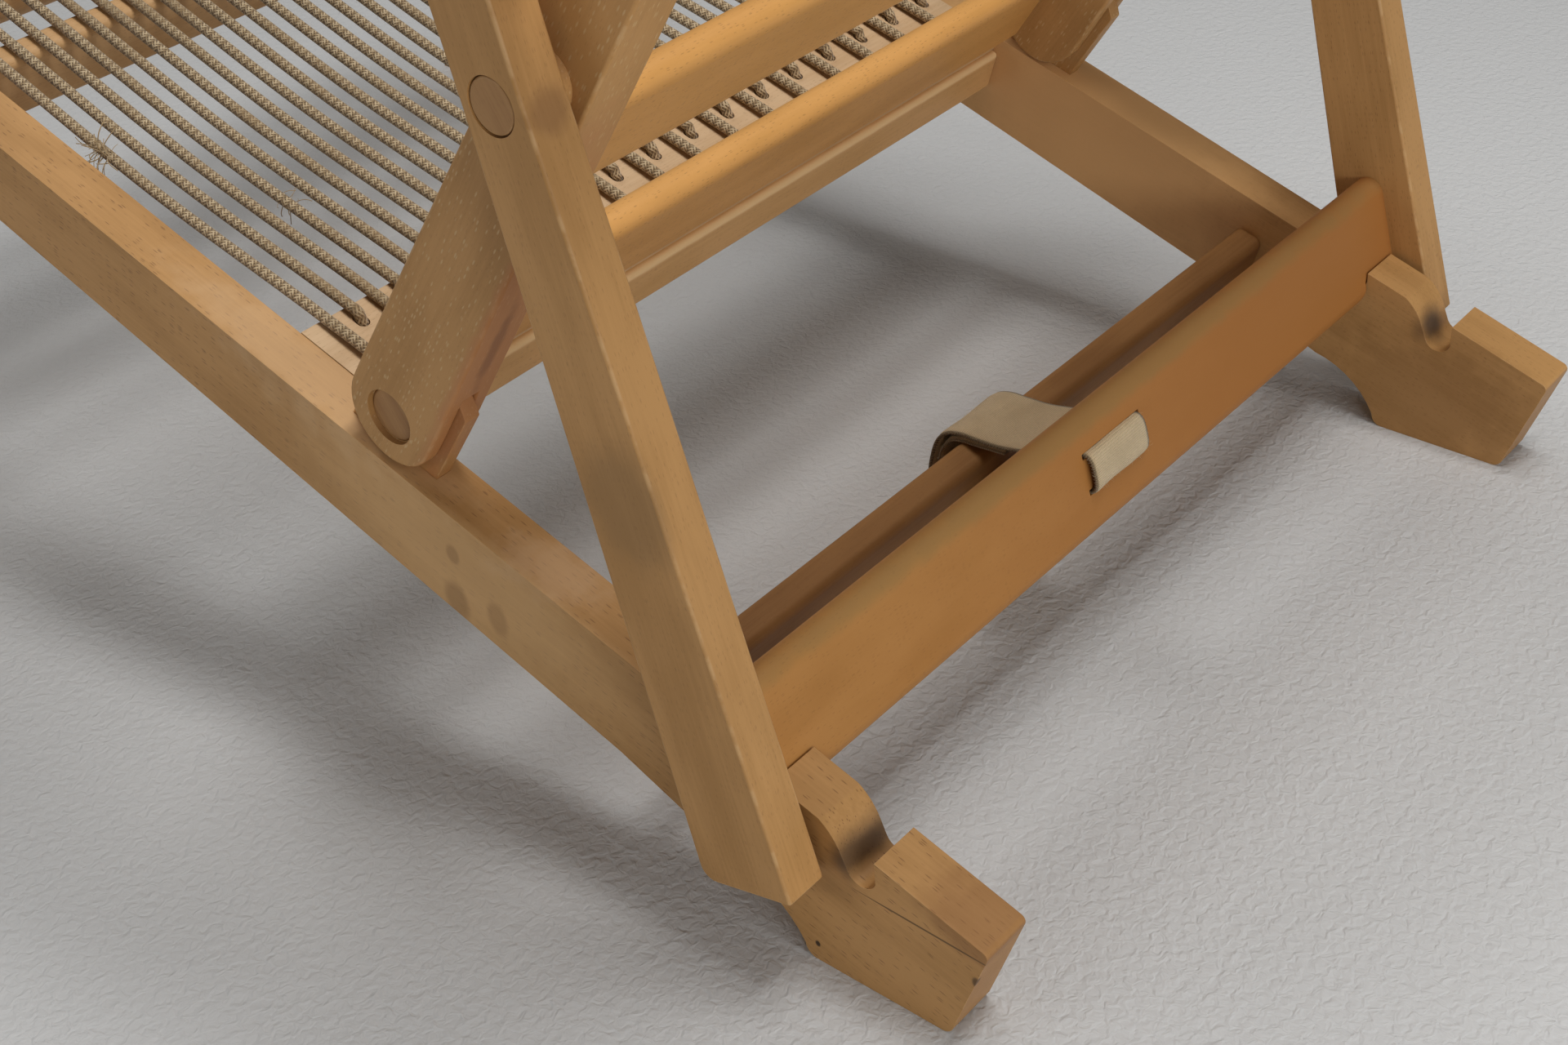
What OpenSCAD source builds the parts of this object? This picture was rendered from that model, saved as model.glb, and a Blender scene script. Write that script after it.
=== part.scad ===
/* [Seat frame] */
// Width over the outer faces of the two seat rails
seat_w = 560; // [520:5:600]
// Thickness of each seat rail
rail_t = 28; // [26:0.5:30]
// Slope of the top edge of the seat rails, in degrees
seat_slope = 18.2; // [16:0.2:20]
// Length of a seat rail along its top edge, from above the heel to the front
rail_len = 875; // [860:5:900]
// Height of the rail's top edge above the rear corner of the foot
foot_h = 70; // [68:0.5:74]
// Length of the flat of a foot on the floor
foot_len = 80; // [74:1:84]
// Depth of a seat rail at its rear end
rail_rear_w = 65.5; // [64:0.5:68]
// Depth of a seat rail at its front end
rail_front_w = 50; // [48:0.5:54]
// Place of the main notch along the rail's top edge
main_notch_s = 104.8; // [102:0.2:107]
// Depth from the rail's top edge to the centre of the main notch's round bottom
main_notch_d = 8.4; // [7:0.2:10]
// Place of the rear notch along the rail's top edge
rear_notch_s = 43.5; // [42:0.5:46]
// Depth from the rail's top edge to the centre of the rear notch's round bottom
notch_d = 13.5; // [12:0.5:15]
// Radius of the bottom of the rear notch
rear_notch_r = 8; // [7.5:0.25:9]
// Radius of the finger's rounded back beside the rear notch
finger_r = 31.5; // [28:0.5:34]
// Place where the finger's back starts along the rail
finger_s = 80; // [77:0.5:83]
// Place of the rear stretcher along the rail
stretcher_s = 171; // [168:1:180]
// Depth of the rear stretcher
stretcher_w = 38; // [30:1:40]
// Depth of the stretcher's top below the rail's top edge
stretcher_drop = 22; // [20:1:26]
// Thickness of the bars and stretchers
bar_t = 18; // [16:0.5:19]
// Radius of the eased corners of the two upright seat bars
bar_ease = 5; // [3:0.5:7]
// Place of the back's pivot along the rail
pivot_s = 343.8; // [335:0.5:350]
// Place of the front axle along the rail
axle_s = 770; // [755:5:785]
// Depth of the front axle below the rail's top edge
axle_d = 27; // [25:0.5:29]
// Diameter of the front axle
axle_dia = 30; // [26:1:32]

/* [Rope decks] */
// Diameter of the cord
cord_dia = 6; // [5.4:0.1:6.4]
// Number of runs of cord across a deck
cord_runs = 32; // [28:2:34]
// Spacing of the runs of cord
cord_pitch = 15.4; // [14.6:0.1:15.6]
// Width of a rope board
board_w = 62; // [60:0.5:64]
// Thickness of a rope board
board_t = 10; // [9:0.5:12]
// Distance from a board's inner edge to its first row of slots
slot_row_a = 13; // [12:0.5:14]
// Distance from a board's inner edge to its second row of slots
slot_row_b = 43; // [40:0.5:45]
// Width of a slot
slot_w = 7; // [6.6:0.1:7.4]
// Depth of the strip under a rope board
strip_w = 26; // [22:1:28]
// Place of the rear rope board's front edge along the rail
rear_board_s = 433; // [430:1:440]
// Place of the front rope board's rear edge along the rail
front_board_s = 800; // [798:1:806]
// Place of the upright middle bar along the rail
middle_bar_s = 697.5; // [690:0.5:705]
// Depth of the middle bar
middle_bar_w = 38; // [30:1:40]
// Place of the lower back rope board's inner edge along the stile
low_board_s = 387; // [384:1:395]
// Place of the upper back rope board's inner edge along the stile
top_board_s = 722; // [700:2:724]

/* [Back frame] */
// Lean of the back stiles from upright, in degrees
back_lean = 34.5; // [33:0.25:36]
// Width of a stile at its pivot
stile_w = 53; // [51:0.5:55]
// Width of a stile where its taper eases
stile_mid_w = 41; // [40:0.5:44]
// Place along the stile where its taper eases
stile_taper_s = 300; // [290:5:320]
// Width of a stile at its top
stile_top_w = 36; // [34:0.5:39]
// Thickness of a stile
stile_t = 28; // [26:0.5:30]
// Length of a stile above its pivot
stile_len = 824; // [820:2:840]
// Inset of a stile's outer face from the rail's outer face
stile_inset = 2; // [1.5:0.25:3]
// Diameter of the lower pivot dowels
pivot_dia = 27.5; // [26:0.5:30]
// Thickness of the lug in the fork of a stile
lug_t = 9; // [8:0.25:10]
// Radius of the lug about the pivot
lug_r = 44; // [43:0.25:44.5]
// How far the lug reaches behind the stile's centre line
lug_rear = 31.5; // [29:0.25:32]
// Height of the fork above the pivot at the stile's rear edge
fork_rise = 41.5; // [40:0.25:43]
// Width of the two back bars
back_bar_w = 61; // [58:0.5:62]
// Centre of the lower back bar along the stile
low_bar_s = 3; // [0:0.5:4]
// Centre of the upper back bar along the stile
high_bar_s = 148.5; // [140:1:155]
// Width of the top rail of the back
top_rail_w = 30; // [26:1:31]

/* [Leg frame and arms] */
// Place of the leg frame's pivot along the stile
leg_pivot_s = 246; // [242:1:250]
// Diameter of the leg frame's pivot dowels
leg_pivot_dia = 23.5; // [22:0.5:25]
// Thickness of a rear post
post_t = 23; // [21:0.5:24]
// Width of a rear post at its pivot
post_top_w = 35; // [33:0.5:36]
// Width of a rear post at its lower end
post_low_w = 53; // [50:0.5:55]
// Length of a rear post below its pivot
post_len = 363; // [358:1:368]
// Length of a rear post above its pivot, to the centre of its round end
post_head = 59; // [54:0.5:60]
// Gap between the rails and the rear posts
post_gap = 3.6; // [3:0.2:4.5]
// How far the leg bar lies in front of the posts' centre line
leg_bar_off = 2.8; // [1.5:0.1:3.5]
// Width of the leg bar between the rails
leg_bar_w = 64; // [60:0.5:68]
// Relief of the leg bar's ends over the rails
leg_bar_relief = 7; // [6:0.5:9]
// Width of the webbing strap
strap_w = 48; // [44:1:52]
// Thickness of the webbing strap
strap_t = 2.4; // [2:0.1:2.6]
// Sideways place of the strap
strap_x = 4; // [-20:1:20]
// Place of the arm's pivot along the stile
arm_pivot_s = 348; // [347:0.5:352]
// Diameter of the arm dowels
arm_dowel_dia = 22; // [20:0.5:24]
// Depth of an arm rail
arm_w = 42; // [40:0.5:42]
// Length of an arm rail in front of its front pivot
arm_nose = 48; // [40:1:60]
// Width of an arm cap
cap_w = 52; // [48:1:60]
// Thickness of an arm cap
cap_t = 14; // [12:0.5:18]
// Width of a front leg
leg_w = 38; // [34:0.5:40]
// Thickness of a front leg
leg_t = 23; // [20:0.5:25]

/* [Hidden] */

$fn = 64;
beech = "#C0935E";
pale_beech = "#CDAF88";
orange_beech = "#A8743F";
cord_colour = "#A08A66";
webbing = "#A59475";

run_fit = 0.06;
side_gap = 0.25;
glue_fit = 0.02;
fold_gap = 1.1;
ring_gap = 0.6;
fork_gap = 0.8;
ring_depth = 3;
open_fit = 0.3;
end_gap = 0.3;
dowel_seat = 20;
dowel_skin = 4;
washer_rim = 2.5;
spacer_rim = 12;
strip_lip = 4.5;
strap_gap = 0.35;
slot_ease = 1.5;
cut = 2;

rail_x = seat_w / 2;
rail_in = rail_x - rail_t;
stile_x = rail_x - stile_inset;
stile_in = stile_x - stile_t;
lug_x = stile_x - stile_t / 2 - lug_t / 2;
post_x = rail_x + post_gap;
post_out = post_x + post_t;
leg_x = post_out + post_gap;
leg_out = leg_x + leg_t;
bar_r = bar_t / 2;
cord_r = cord_dia / 2;
lug_front = stile_w / 2 - 2.5;

function rot2(p, a) = [p[0] * cos(a) - p[1] * sin(a), p[0] * sin(a) + p[1] * cos(a)];
function rail_pt(s, h) = [0, foot_h] + rot2([s, h], seat_slope);
function slope_of(v) = atan2(v[1], v[0]);
function arc(c, r, a0, a1, n) = [for (i = [0:n]) let (a = a0 + (a1 - a0) * i / n) c + r * [cos(a), sin(a)]];
function rail_w(s) = rail_rear_w + (rail_front_w - rail_rear_w) * s / rail_len;

// Pivot of the back on the lug, high enough for a folded stile to clear the rail
pivot = rail_pt(pivot_s, stile_w / 2 + fold_gap);
stile_dir = [-sin(back_lean), cos(back_lean)];
stile_front = [cos(back_lean), sin(back_lean)];
function stile_pt(s, o) = pivot + s * stile_dir + o * stile_front;
function blend(a, b, t) = a + (b - a) * max(0, min(1, t));
function stile_half(s) = s < stile_taper_s
    ? blend(stile_w, stile_mid_w, s / stile_taper_s) / 2
    : blend(stile_mid_w, stile_top_w, (s - stile_taper_s) / (stile_len - stile_taper_s)) / 2;

leg_pivot = stile_pt(leg_pivot_s, 0);
arm_pivot = stile_pt(arm_pivot_s, 0);
axle = rail_pt(axle_s, -axle_d);
arm_front = arm_pivot + axle - pivot;
arm_slope = slope_of(axle - pivot);
arm_link = norm(axle - pivot);

// Centre of the leg bar's round lower edge where it sits in the main notch
notch_pt = rail_pt(main_notch_s, -main_notch_d);
notch_reach = norm(leg_pivot - notch_pt);
post_lean = 90 - slope_of(leg_pivot - notch_pt) + asin(leg_bar_off / notch_reach);
post_dir = [sin(post_lean), cos(post_lean)];
post_front = [cos(post_lean), -sin(post_lean)];
function post_pt(s, o) = leg_pivot + s * post_dir + o * post_front;
bar_seat = -sqrt(pow(notch_reach, 2) - pow(leg_bar_off, 2));
bar_low = bar_seat - bar_r - leg_bar_relief;
bar_high = bar_low + leg_bar_w;
bar_back_face = leg_bar_off - bar_r;
bar_front_face = leg_bar_off + bar_r;
strap_slot_high = bar_high - 19;
strap_slot_low = strap_slot_high - 20;
strap_slot_h = strap_t + 2 * strap_gap;

rear_reach = stile_pt(stile_len - stile_top_w / 2, 0)[0] - stile_top_w / 2;
front_reach = axle[0] + axle[1] * tan(back_lean) + leg_w / 2 / cos(back_lean);
mid_u = (rear_reach + front_reach) / 2;

function place(x, p) = [x, mid_u - p[0], p[1]];

// Flat outlines are drawn with forward to the right and are stood up from x0 to x1
module side(x0, x1) {
    translate([x1, mid_u, 0]) rotate([90, 0, -90]) linear_extrude(x1 - x0) children();
}
module rail_frame() {
    translate([0, foot_h]) rotate(seat_slope) children();
}
module stile_frame() {
    translate(pivot) rotate(90 + back_lean) mirror([0, 1]) children();
}
module post_frame() {
    translate(leg_pivot) rotate(90 - post_lean) mirror([0, 1]) children();
}
module arm_frame() {
    translate(arm_pivot) rotate(arm_slope) children();
}
module disc(p, r) {
    translate(p) circle(r);
}
module rod(x0, x1, p, r) {
    side(x0, x1) disc(p, r);
}
// Outline of a seat rail with its foot, before the notches
module rail_outline() {
    heel_top = rail_pt(-23.5, -1.5);
    fillet = arc([foot_len + 51, -19], 56, 160, 100, 8);
    s_low = 178;
    nose = rail_len - rail_front_w / 2;
    polygon(concat(
        [[0, 0], [foot_len, 0]],
        [for (p = fillet) if (p[1] > 0.3) p],
        [rail_pt(s_low, -rail_w(s_low)), rail_pt(nose, -rail_front_w)],
        arc(rail_pt(nose, -rail_front_w / 2), rail_front_w / 2, seat_slope - 90, seat_slope + 90, 20),
        [heel_top]
    ));
}
// Main notch, open upwards along the leg bar
module main_notch() {
    r = bar_r + 0.8;
    lip = 60;
    disc(notch_pt, r);
    polygon([
        notch_pt + [-r, 0], notch_pt + [-r, lip],
        notch_pt + r * post_front + lip * post_dir, notch_pt + r * post_front
    ]);
}
// Empty rear notch with the rounded back of the finger
module rear_notch() {
    rail_frame() {
        lip = 12;
        seat = [rear_notch_s, -notch_d];
        finger = [finger_s, -finger_r];
        reach = seat - finger;
        turn = slope_of(reach) - acos((finger_r + rear_notch_r) / norm(reach));
        heel = seat - [rear_notch_r, 0];
        polygon(concat(
            arc(seat, rear_notch_r, -180, turn - 180, 12),
            arc(finger, finger_r, turn, 90, 10),
            [[finger_s, lip], heel + (lip + notch_d) * [tan(seat_slope), 1]]
        ));
    }
}
module lug_outline(ease) {
    intersection() {
        disc(pivot, lug_r + ease);
        stile_frame() translate([-80, -lug_rear - ease]) square([160, lug_rear + lug_front + 2 * ease]);
    }
}
module left_seat_rail() {
    color(beech) difference() {
        side(rail_in, rail_x) difference() {
            rail_outline();
            main_notch();
            rear_notch();
            disc(axle, axle_dia / 2 + run_fit);
        }
        side(lug_x - glue_fit, lug_x + lug_t + glue_fit) lug_outline(glue_fit);
    }
}
module left_pivot_lug() {
    color(beech) side(lug_x, lug_x + lug_t) difference() {
        lug_outline(0);
        disc(pivot, pivot_dia / 2);
    }
}
module left_pivot_dowel() {
    color(beech) rod(stile_in + dowel_skin + end_gap, stile_x - 2.5, pivot, pivot_dia / 2);
}

module left_back_stile() {
    tip = stile_len - stile_top_w / 2;
    straight = 12;
    ring = pivot_dia / 2 + ring_gap;
    color(beech) difference() {
        side(stile_in, stile_x) difference() {
            stile_frame() union() {
                disc([0, 0], stile_w / 2);
                polygon([
                    [0, -stile_w / 2], [straight, -stile_w / 2], [stile_taper_s, -stile_mid_w / 2],
                    [tip - straight, -stile_top_w / 2], [tip, -stile_top_w / 2],
                    [tip, stile_top_w / 2], [tip - straight, stile_top_w / 2],
                    [stile_taper_s, stile_mid_w / 2], [straight, stile_w / 2], [0, stile_w / 2]
                ]);
                disc([tip, 0], stile_top_w / 2);
            }
        }
        rod(stile_in + dowel_skin, stile_x + cut, pivot, pivot_dia / 2 + run_fit);
        side(lug_x - side_gap, lug_x + lug_t + side_gap) {
            disc(pivot, lug_r + fork_gap);
            stile_frame() translate([0, -stile_w]) square([fork_rise, stile_w / 2 + 2 * cut]);
        }
        rod(stile_x - ring_depth, stile_x + cut, pivot, ring);
        rod(stile_x - dowel_seat, stile_x + cut, leg_pivot, leg_pivot_dia / 2 + glue_fit);
        rod(stile_x - dowel_seat, stile_x + cut, arm_pivot, arm_dowel_dia / 2 + glue_fit);
    }
}
module left_leg_dowel() {
    color(beech) rod(stile_x - dowel_seat, post_out - end_gap, leg_pivot, leg_pivot_dia / 2);
}
module left_arm_dowel() {
    color(beech) rod(stile_x - dowel_seat, post_out - end_gap, arm_pivot, arm_dowel_dia / 2);
}
module stile_washers() {
    for (flip = [0, 1], w = [[leg_pivot, leg_pivot_dia], [arm_pivot, arm_dowel_dia]])
        mirror([flip, 0, 0]) color(beech) side(stile_x, post_x - side_gap) difference() {
            disc(w[0], w[1] / 2 + washer_rim);
            disc(w[0], w[1] / 2 + glue_fit);
        }
}

// Board section along its frame from a to b, its middle at o
module bar_section(a, b, o) {
    translate([a + bar_r, o - bar_r]) square([b - a - bar_t, bar_t]);
    disc([a + bar_r, o], bar_r);
    disc([b - bar_r, o], bar_r);
}
// Board section with eased corners standing across its frame, from low to high
module upright_section(s, low, high) {
    inner = bar_r - bar_ease;
    translate([s - bar_r, low + bar_ease]) square([bar_t, high - low - 2 * bar_ease]);
    translate([s - inner, low]) square([2 * inner, high - low]);
    for (x = [s - inner, s + inner], h = [low + bar_ease, high - bar_ease]) disc([x, h], bar_ease);
}
module rear_stretcher() {
    color(orange_beech) side(-rail_in, rail_in) rail_frame()
        upright_section(stretcher_s, -stretcher_drop - stretcher_w, -stretcher_drop);
}
module middle_seat_bar() {
    color(beech) side(-rail_in, rail_in) rail_frame()
        upright_section(middle_bar_s, -middle_drop - middle_bar_w, -middle_drop);
}
module back_bar(s) {
    color(beech) side(-stile_in, stile_in) stile_frame()
        bar_section(s - back_bar_w / 2, s + back_bar_w / 2, stile_half(s) - bar_r);
}
module lower_back_bar() {
    back_bar(low_bar_s);
}
module upper_back_bar() {
    back_bar(high_bar_s);
}
module back_top_rail() {
    color(beech) side(-stile_in, stile_in) stile_frame()
        bar_section(stile_len - top_rail_w - 4, stile_len - 4, 0);
}

// A rope deck is described in the frame of its rails by its two board edges and their top faces
seat_tops = [0, 0];
back_tops = [stile_half(low_board_s - board_w / 2), stile_half(top_board_s + board_w / 2)];
middle_drop = cord_r + 0.4;

function run_x(k) = (cord_runs - 1) * cord_pitch / 2 - k * cord_pitch;
function run_row(k) = k % 2 == 0 ? slot_row_b : slot_row_a;

// Plan of a rope board in [sideways, along], with its slots; away is 1 or -1
module board_plan(half, edge, away, flip) {
    slot_r = slot_w / 2;
    reach = slot_r + 2.5;
    difference() {
        translate([-half, min(edge, edge + away * board_w)]) square([2 * half, board_w]);
        for (k = [0:cord_runs - 1]) {
            x = flip * run_x(k);
            s = edge + away * run_row(k);
            disc([x, s], slot_r);
            translate([x - slot_r, min(s, s - away * (reach - slot_r))]) square([slot_w, reach - slot_r]);
            disc([x, s - away * (reach - slot_r)], slot_r);
        }
    }
}
module on_rail(h) {
    translate(place(0, [0, foot_h])) rotate([-seat_slope, 0, 0]) rotate([0, 0, 180])
        translate([0, 0, h]) children();
}
module on_stile(o) {
    translate(place(0, pivot)) rotate([90 - back_lean, 0, 0]) translate([0, 0, o]) children();
}
module seat_board(edge, away) {
    color(pale_beech) on_rail(-board_t) linear_extrude(board_t) board_plan(rail_in, edge, away, -1);
}
module back_board(edge, away, top) {
    color(pale_beech) on_stile(top - board_t) linear_extrude(board_t) board_plan(stile_in, edge, away, 1);
}
// Strip under the outer edge of a rope board
module strip_section(edge, away, top) {
    outer = edge + away * (board_w + strip_lip);
    translate([min(outer, outer - away * bar_t), top - board_t - strip_w]) square([bar_t, strip_w]);
}
module rear_rope_board() {
    seat_board(rear_board_s, -1);
}
module front_rope_board() {
    seat_board(front_board_s, 1);
}
module rear_board_strip() {
    color(beech) side(-rail_in, rail_in) rail_frame() strip_section(rear_board_s, -1, 0);
}
module front_board_strip() {
    color(beech) side(-rail_in, rail_in) rail_frame() strip_section(front_board_s, 1, 0);
}
module lower_back_rope_board() {
    back_board(low_board_s, -1, back_tops[0]);
}
module upper_back_rope_board() {
    back_board(top_board_s, 1, back_tops[1]);
}
module lower_back_strip() {
    color(beech) side(-stile_in, stile_in) stile_frame() strip_section(low_board_s, -1, back_tops[0]);
}
module upper_back_strip() {
    color(beech) side(-stile_in, stile_in) stile_frame() strip_section(top_board_s, 1, back_tops[1]);
}

// One end of a run of cord, from under its board up through the slot and out over the inner edge
lay = cord_r + 0.35;
turn = board_t + cord_r + 1.4;
bend = 3.5;
function run_end(x, edge, away, top, k) = let (s = edge + away * run_row(k)) [
    [x, s, top - board_t - 0.5], [x, s, top - 1],
    [x, s - away * bend, top + lay], [x, edge - away, top + lay]
];
function reversed(list) = [for (i = [len(list) - 1:-1:0]) list[i]];
function run_points(k, edges, tops, middle) = concat(
    run_end(run_x(k), edges[0], -1, tops[0], k),
    [for (m = middle) [run_x(k), m[0], m[1]]],
    reversed(run_end(run_x(k), edges[1], 1, tops[1], k))
);
// The turn under a board from one run to the next
function turn_points(k, edge, away, top) = let (
    a = [run_x(k), edge + away * run_row(k)],
    b = [run_x(k + 1), edge + away * run_row(k + 1)],
    step = (b - a) / norm(b - a) * 4
) [for (p = [a + step, b - step]) [p[0], p[1], top - turn]];
function cord_route(edges, tops, middle) = [
    for (k = [0:cord_runs - 1]) let (
        run = run_points(k, edges, tops, middle),
        far = k % 2 == 0 ? 1 : 0
    ) each concat(
        k % 2 == 0 ? run : reversed(run),
        k < cord_runs - 1 ? turn_points(k, edges[far], far == 1 ? 1 : -1, tops[far]) : []
    )
];

// Tube along a list of points, its frame carried from ring to ring without twist
function unit(v) = v / norm(v);
function flatten_to(v, t) = unit(v - (v * t) * t);
function headings(p) = [
    for (i = [0:len(p) - 1]) unit(
        (i < len(p) - 1 ? unit(p[i + 1] - p[i]) : [0, 0, 0]) + (i > 0 ? unit(p[i] - p[i - 1]) : [0, 0, 0])
    )
];
function normals(t) = [
    for (
        i = 0, n = flatten_to([1, 0, 0], t[0]);
        i < len(t);
        n = i + 1 < len(t) ? flatten_to(n, t[i + 1]) : n, i = i + 1
    ) n
];
module tube(p, r, sides) {
    t = headings(p);
    n = normals(t);
    rings = len(p);
    points = [
        for (i = [0:rings - 1], j = [0:sides - 1]) let (a = 360 * j / sides)
            p[i] + r * (cos(a) * n[i] + sin(a) * cross(t[i], n[i]))
    ];
    faces = concat(
        [for (i = [0:rings - 2], j = [0:sides - 1]) let (a = i * sides + j, b = i * sides + (j + 1) % sides)
            each [[a, a + sides, b + sides], [a, b + sides, b]]],
        [for (j = [1:sides - 2]) [0, j, j + 1]],
        [for (j = [1:sides - 2]) let (e = (rings - 1) * sides) [e, e + j + 1, e + j]]
    );
    polyhedron(points, faces, convexity = 10);
}
function least_gap(p, skip) = min([
    for (i = [0:len(p) - 1], j = [i + skip:1:len(p) - 1]) norm(p[i] - p[j])
]);

seat_edges = [rear_board_s, front_board_s];
seat_middle = [
    [(rear_board_s + middle_bar_s) / 2, -3],
    [middle_bar_s, cord_r + 0.3 - middle_drop]
];
seat_route = [
    for (p = cord_route(seat_edges, seat_tops, seat_middle)) place(p[0], rail_pt(p[1], p[2]))
];
back_edges = [low_board_s, top_board_s];
back_route = [
    for (p = cord_route(back_edges, back_tops, [])) place(p[0], stile_pt(p[1], p[2]))
];
echo(seat_cord_least_gap = least_gap(seat_route, 5) - cord_dia);
echo(back_cord_least_gap = least_gap(back_route, 5) - cord_dia);

module seat_cord() {
    color(cord_colour) tube(seat_route, cord_r, 6);
}
module back_cord() {
    color(cord_colour) tube(back_route, cord_r, 6);
}

module left_rear_post() {
    top_r = post_top_w / 2;
    low_r = post_low_w / 2;
    corner = 8;
    color(beech) difference() {
        side(post_x, post_out) difference() {
            post_frame() union() {
                disc([post_head, 0], top_r);
                polygon(concat(
                    [[post_head, top_r], [0, top_r]],
                    arc([corner - post_len, low_r - corner], corner, 90, 180, 6),
                    [[-post_len, -low_r], [0, -top_r], [post_head, -top_r]]
                ));
            }
            disc(leg_pivot, leg_pivot_dia / 2 + run_fit);
        }
        rod(post_out - ring_depth, post_out + cut, leg_pivot, leg_pivot_dia / 2 + ring_gap);
    }
}
module leg_bar() {
    inner = rail_in - 1.2;
    corner = 12;
    color(orange_beech) difference() {
        union() {
            side(-post_x, post_x) post_frame() bar_section(bar_low + leg_bar_relief, bar_high, leg_bar_off);
            intersection() {
                side(-inner, inner) post_frame() difference() {
                    bar_section(bar_low, bar_high, leg_bar_off);
                    translate([bar_high - bar_t, bar_back_face - cut])
                        square([bar_t + cut, bar_t + 2 * cut]);
                }
                translate(place(0, leg_pivot)) rotate([90 + post_lean, 0, 0])
                    translate([0, 0, bar_back_face - cut]) linear_extrude(bar_t + 2 * cut) union() {
                        translate([-inner, bar_low + corner]) square([2 * inner, leg_bar_w]);
                        translate([corner - inner, bar_low]) square([2 * (inner - corner), corner]);
                        for (x = [-1, 1]) disc([x * (inner - corner), bar_low + corner], corner);
                    }
            }
        }
        for (s = [strap_slot_high, strap_slot_low])
            side(strap_x - strap_w / 2 - slot_ease, strap_x + strap_w / 2 + slot_ease) post_frame()
                translate([s - strap_slot_h / 2, bar_back_face - cut])
                    square([strap_slot_h, bar_t + 2 * cut]);
    }
}
// Closed band of the strap, made from its middle line
module band(line, t) {
    n = len(line);
    out = [
        for (i = [0:n - 1]) let (d = unit(line[(i + 1) % n] - line[(i + n - 1) % n])) [d[1], -d[0]]
    ];
    difference() {
        polygon([for (i = [0:n - 1]) line[i] + out[i] * t / 2]);
        polygon([for (i = [0:n - 1]) line[i] - out[i] * t / 2]);
    }
}
module webbing_strap() {
    top = -stretcher_drop + 4;
    low = -stretcher_drop - stretcher_w - 6;
    near = stretcher_s - bar_r;
    far = stretcher_s + bar_r + 11;
    mid = (strap_slot_high + strap_slot_low) / 2;
    line = [
        post_pt(strap_slot_high - 1, bar_front_face + 4), post_pt(strap_slot_high, bar_front_face),
        post_pt(strap_slot_high, leg_bar_off), post_pt(strap_slot_high, bar_back_face),
        post_pt(strap_slot_high - 1.2, bar_back_face - 2),
        post_pt(strap_slot_high - 4, bar_back_face - 3.2), post_pt(mid, bar_back_face - 3.6),
        post_pt(strap_slot_low + 4, bar_back_face - 3.2),
        post_pt(strap_slot_low + 1.2, bar_back_face - 2),
        post_pt(strap_slot_low, bar_back_face), post_pt(strap_slot_low, leg_bar_off),
        post_pt(strap_slot_low, bar_front_face), post_pt(strap_slot_low - 2, bar_front_face + 6),
        rail_pt(near - 8, low + 8), rail_pt(near, low + 1), rail_pt(stretcher_s, low),
        rail_pt(far - 8, low + 2), rail_pt(far - 2, low + 9), rail_pt(far + 1, (low + top) / 2),
        rail_pt(far + 0.5, top - 12), rail_pt(far - 2.5, top - 6), rail_pt(far - 9, top - 0.8),
        rail_pt(stretcher_s, top + 3.4), rail_pt(near - 6, top + 9.6)
    ];
    color(webbing) side(strap_x - strap_w / 2, strap_x + strap_w / 2) band(line, strap_t);
}

module left_arm_rail() {
    color(beech) difference() {
        side(post_x, post_out) difference() {
            arm_frame() {
                translate([0, -arm_w / 2]) square([arm_link + arm_nose - arm_w / 2, arm_w]);
                disc([0, 0], arm_w / 2);
                disc([arm_link + arm_nose - arm_w / 2, 0], arm_w / 2);
            }
            disc(arm_pivot, arm_dowel_dia / 2 + run_fit);
            disc(arm_front, arm_dowel_dia / 2 + glue_fit);
        }
        rod(post_out - ring_depth, post_out + cut, arm_pivot, arm_dowel_dia / 2 + ring_gap);
    }
}
module left_arm_cap() {
    corner = 12;
    rear = -arm_w / 2;
    length = arm_link + arm_nose + arm_w / 2 + 6;
    color(beech) translate(place(0, arm_pivot)) rotate([-arm_slope, 0, 0]) rotate([0, 0, 180])
        translate([-post_x - cap_w, rear, arm_w / 2]) linear_extrude(cap_t) union() {
            translate([corner, 0]) square([cap_w - 2 * corner, length]);
            translate([0, corner]) square([cap_w, length - 2 * corner]);
            for (x = [corner, cap_w - corner], y = [corner, length - corner]) disc([x, y], corner);
        }
}
module left_front_dowel() {
    color(beech) rod(post_x + 3, leg_out - end_gap, arm_front, arm_dowel_dia / 2);
}
module left_front_leg() {
    foot = [axle[0] + axle[1] * tan(back_lean), 0];
    half = leg_w / 2;
    edge = [half / cos(back_lean), 0];
    color(beech) side(leg_x, leg_out) difference() {
        union() {
            polygon([
                foot - edge, foot + edge,
                arm_front + half * stile_front, arm_front - half * stile_front
            ]);
            disc(arm_front, half);
        }
        disc(arm_front, arm_dowel_dia / 2 + open_fit);
        disc(axle, axle_dia / 2 + glue_fit);
    }
}
module front_axle() {
    color(beech) rod(-leg_out + end_gap, leg_out - end_gap, axle, axle_dia / 2);
}
module axle_spacers() {
    for (flip = [0, 1]) mirror([flip, 0, 0]) color(pale_beech) side(rail_x + side_gap, leg_x) difference() {
        disc(axle, axle_dia / 2 + spacer_rim);
        disc(axle, axle_dia / 2 + glue_fit);
    }
}

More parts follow.
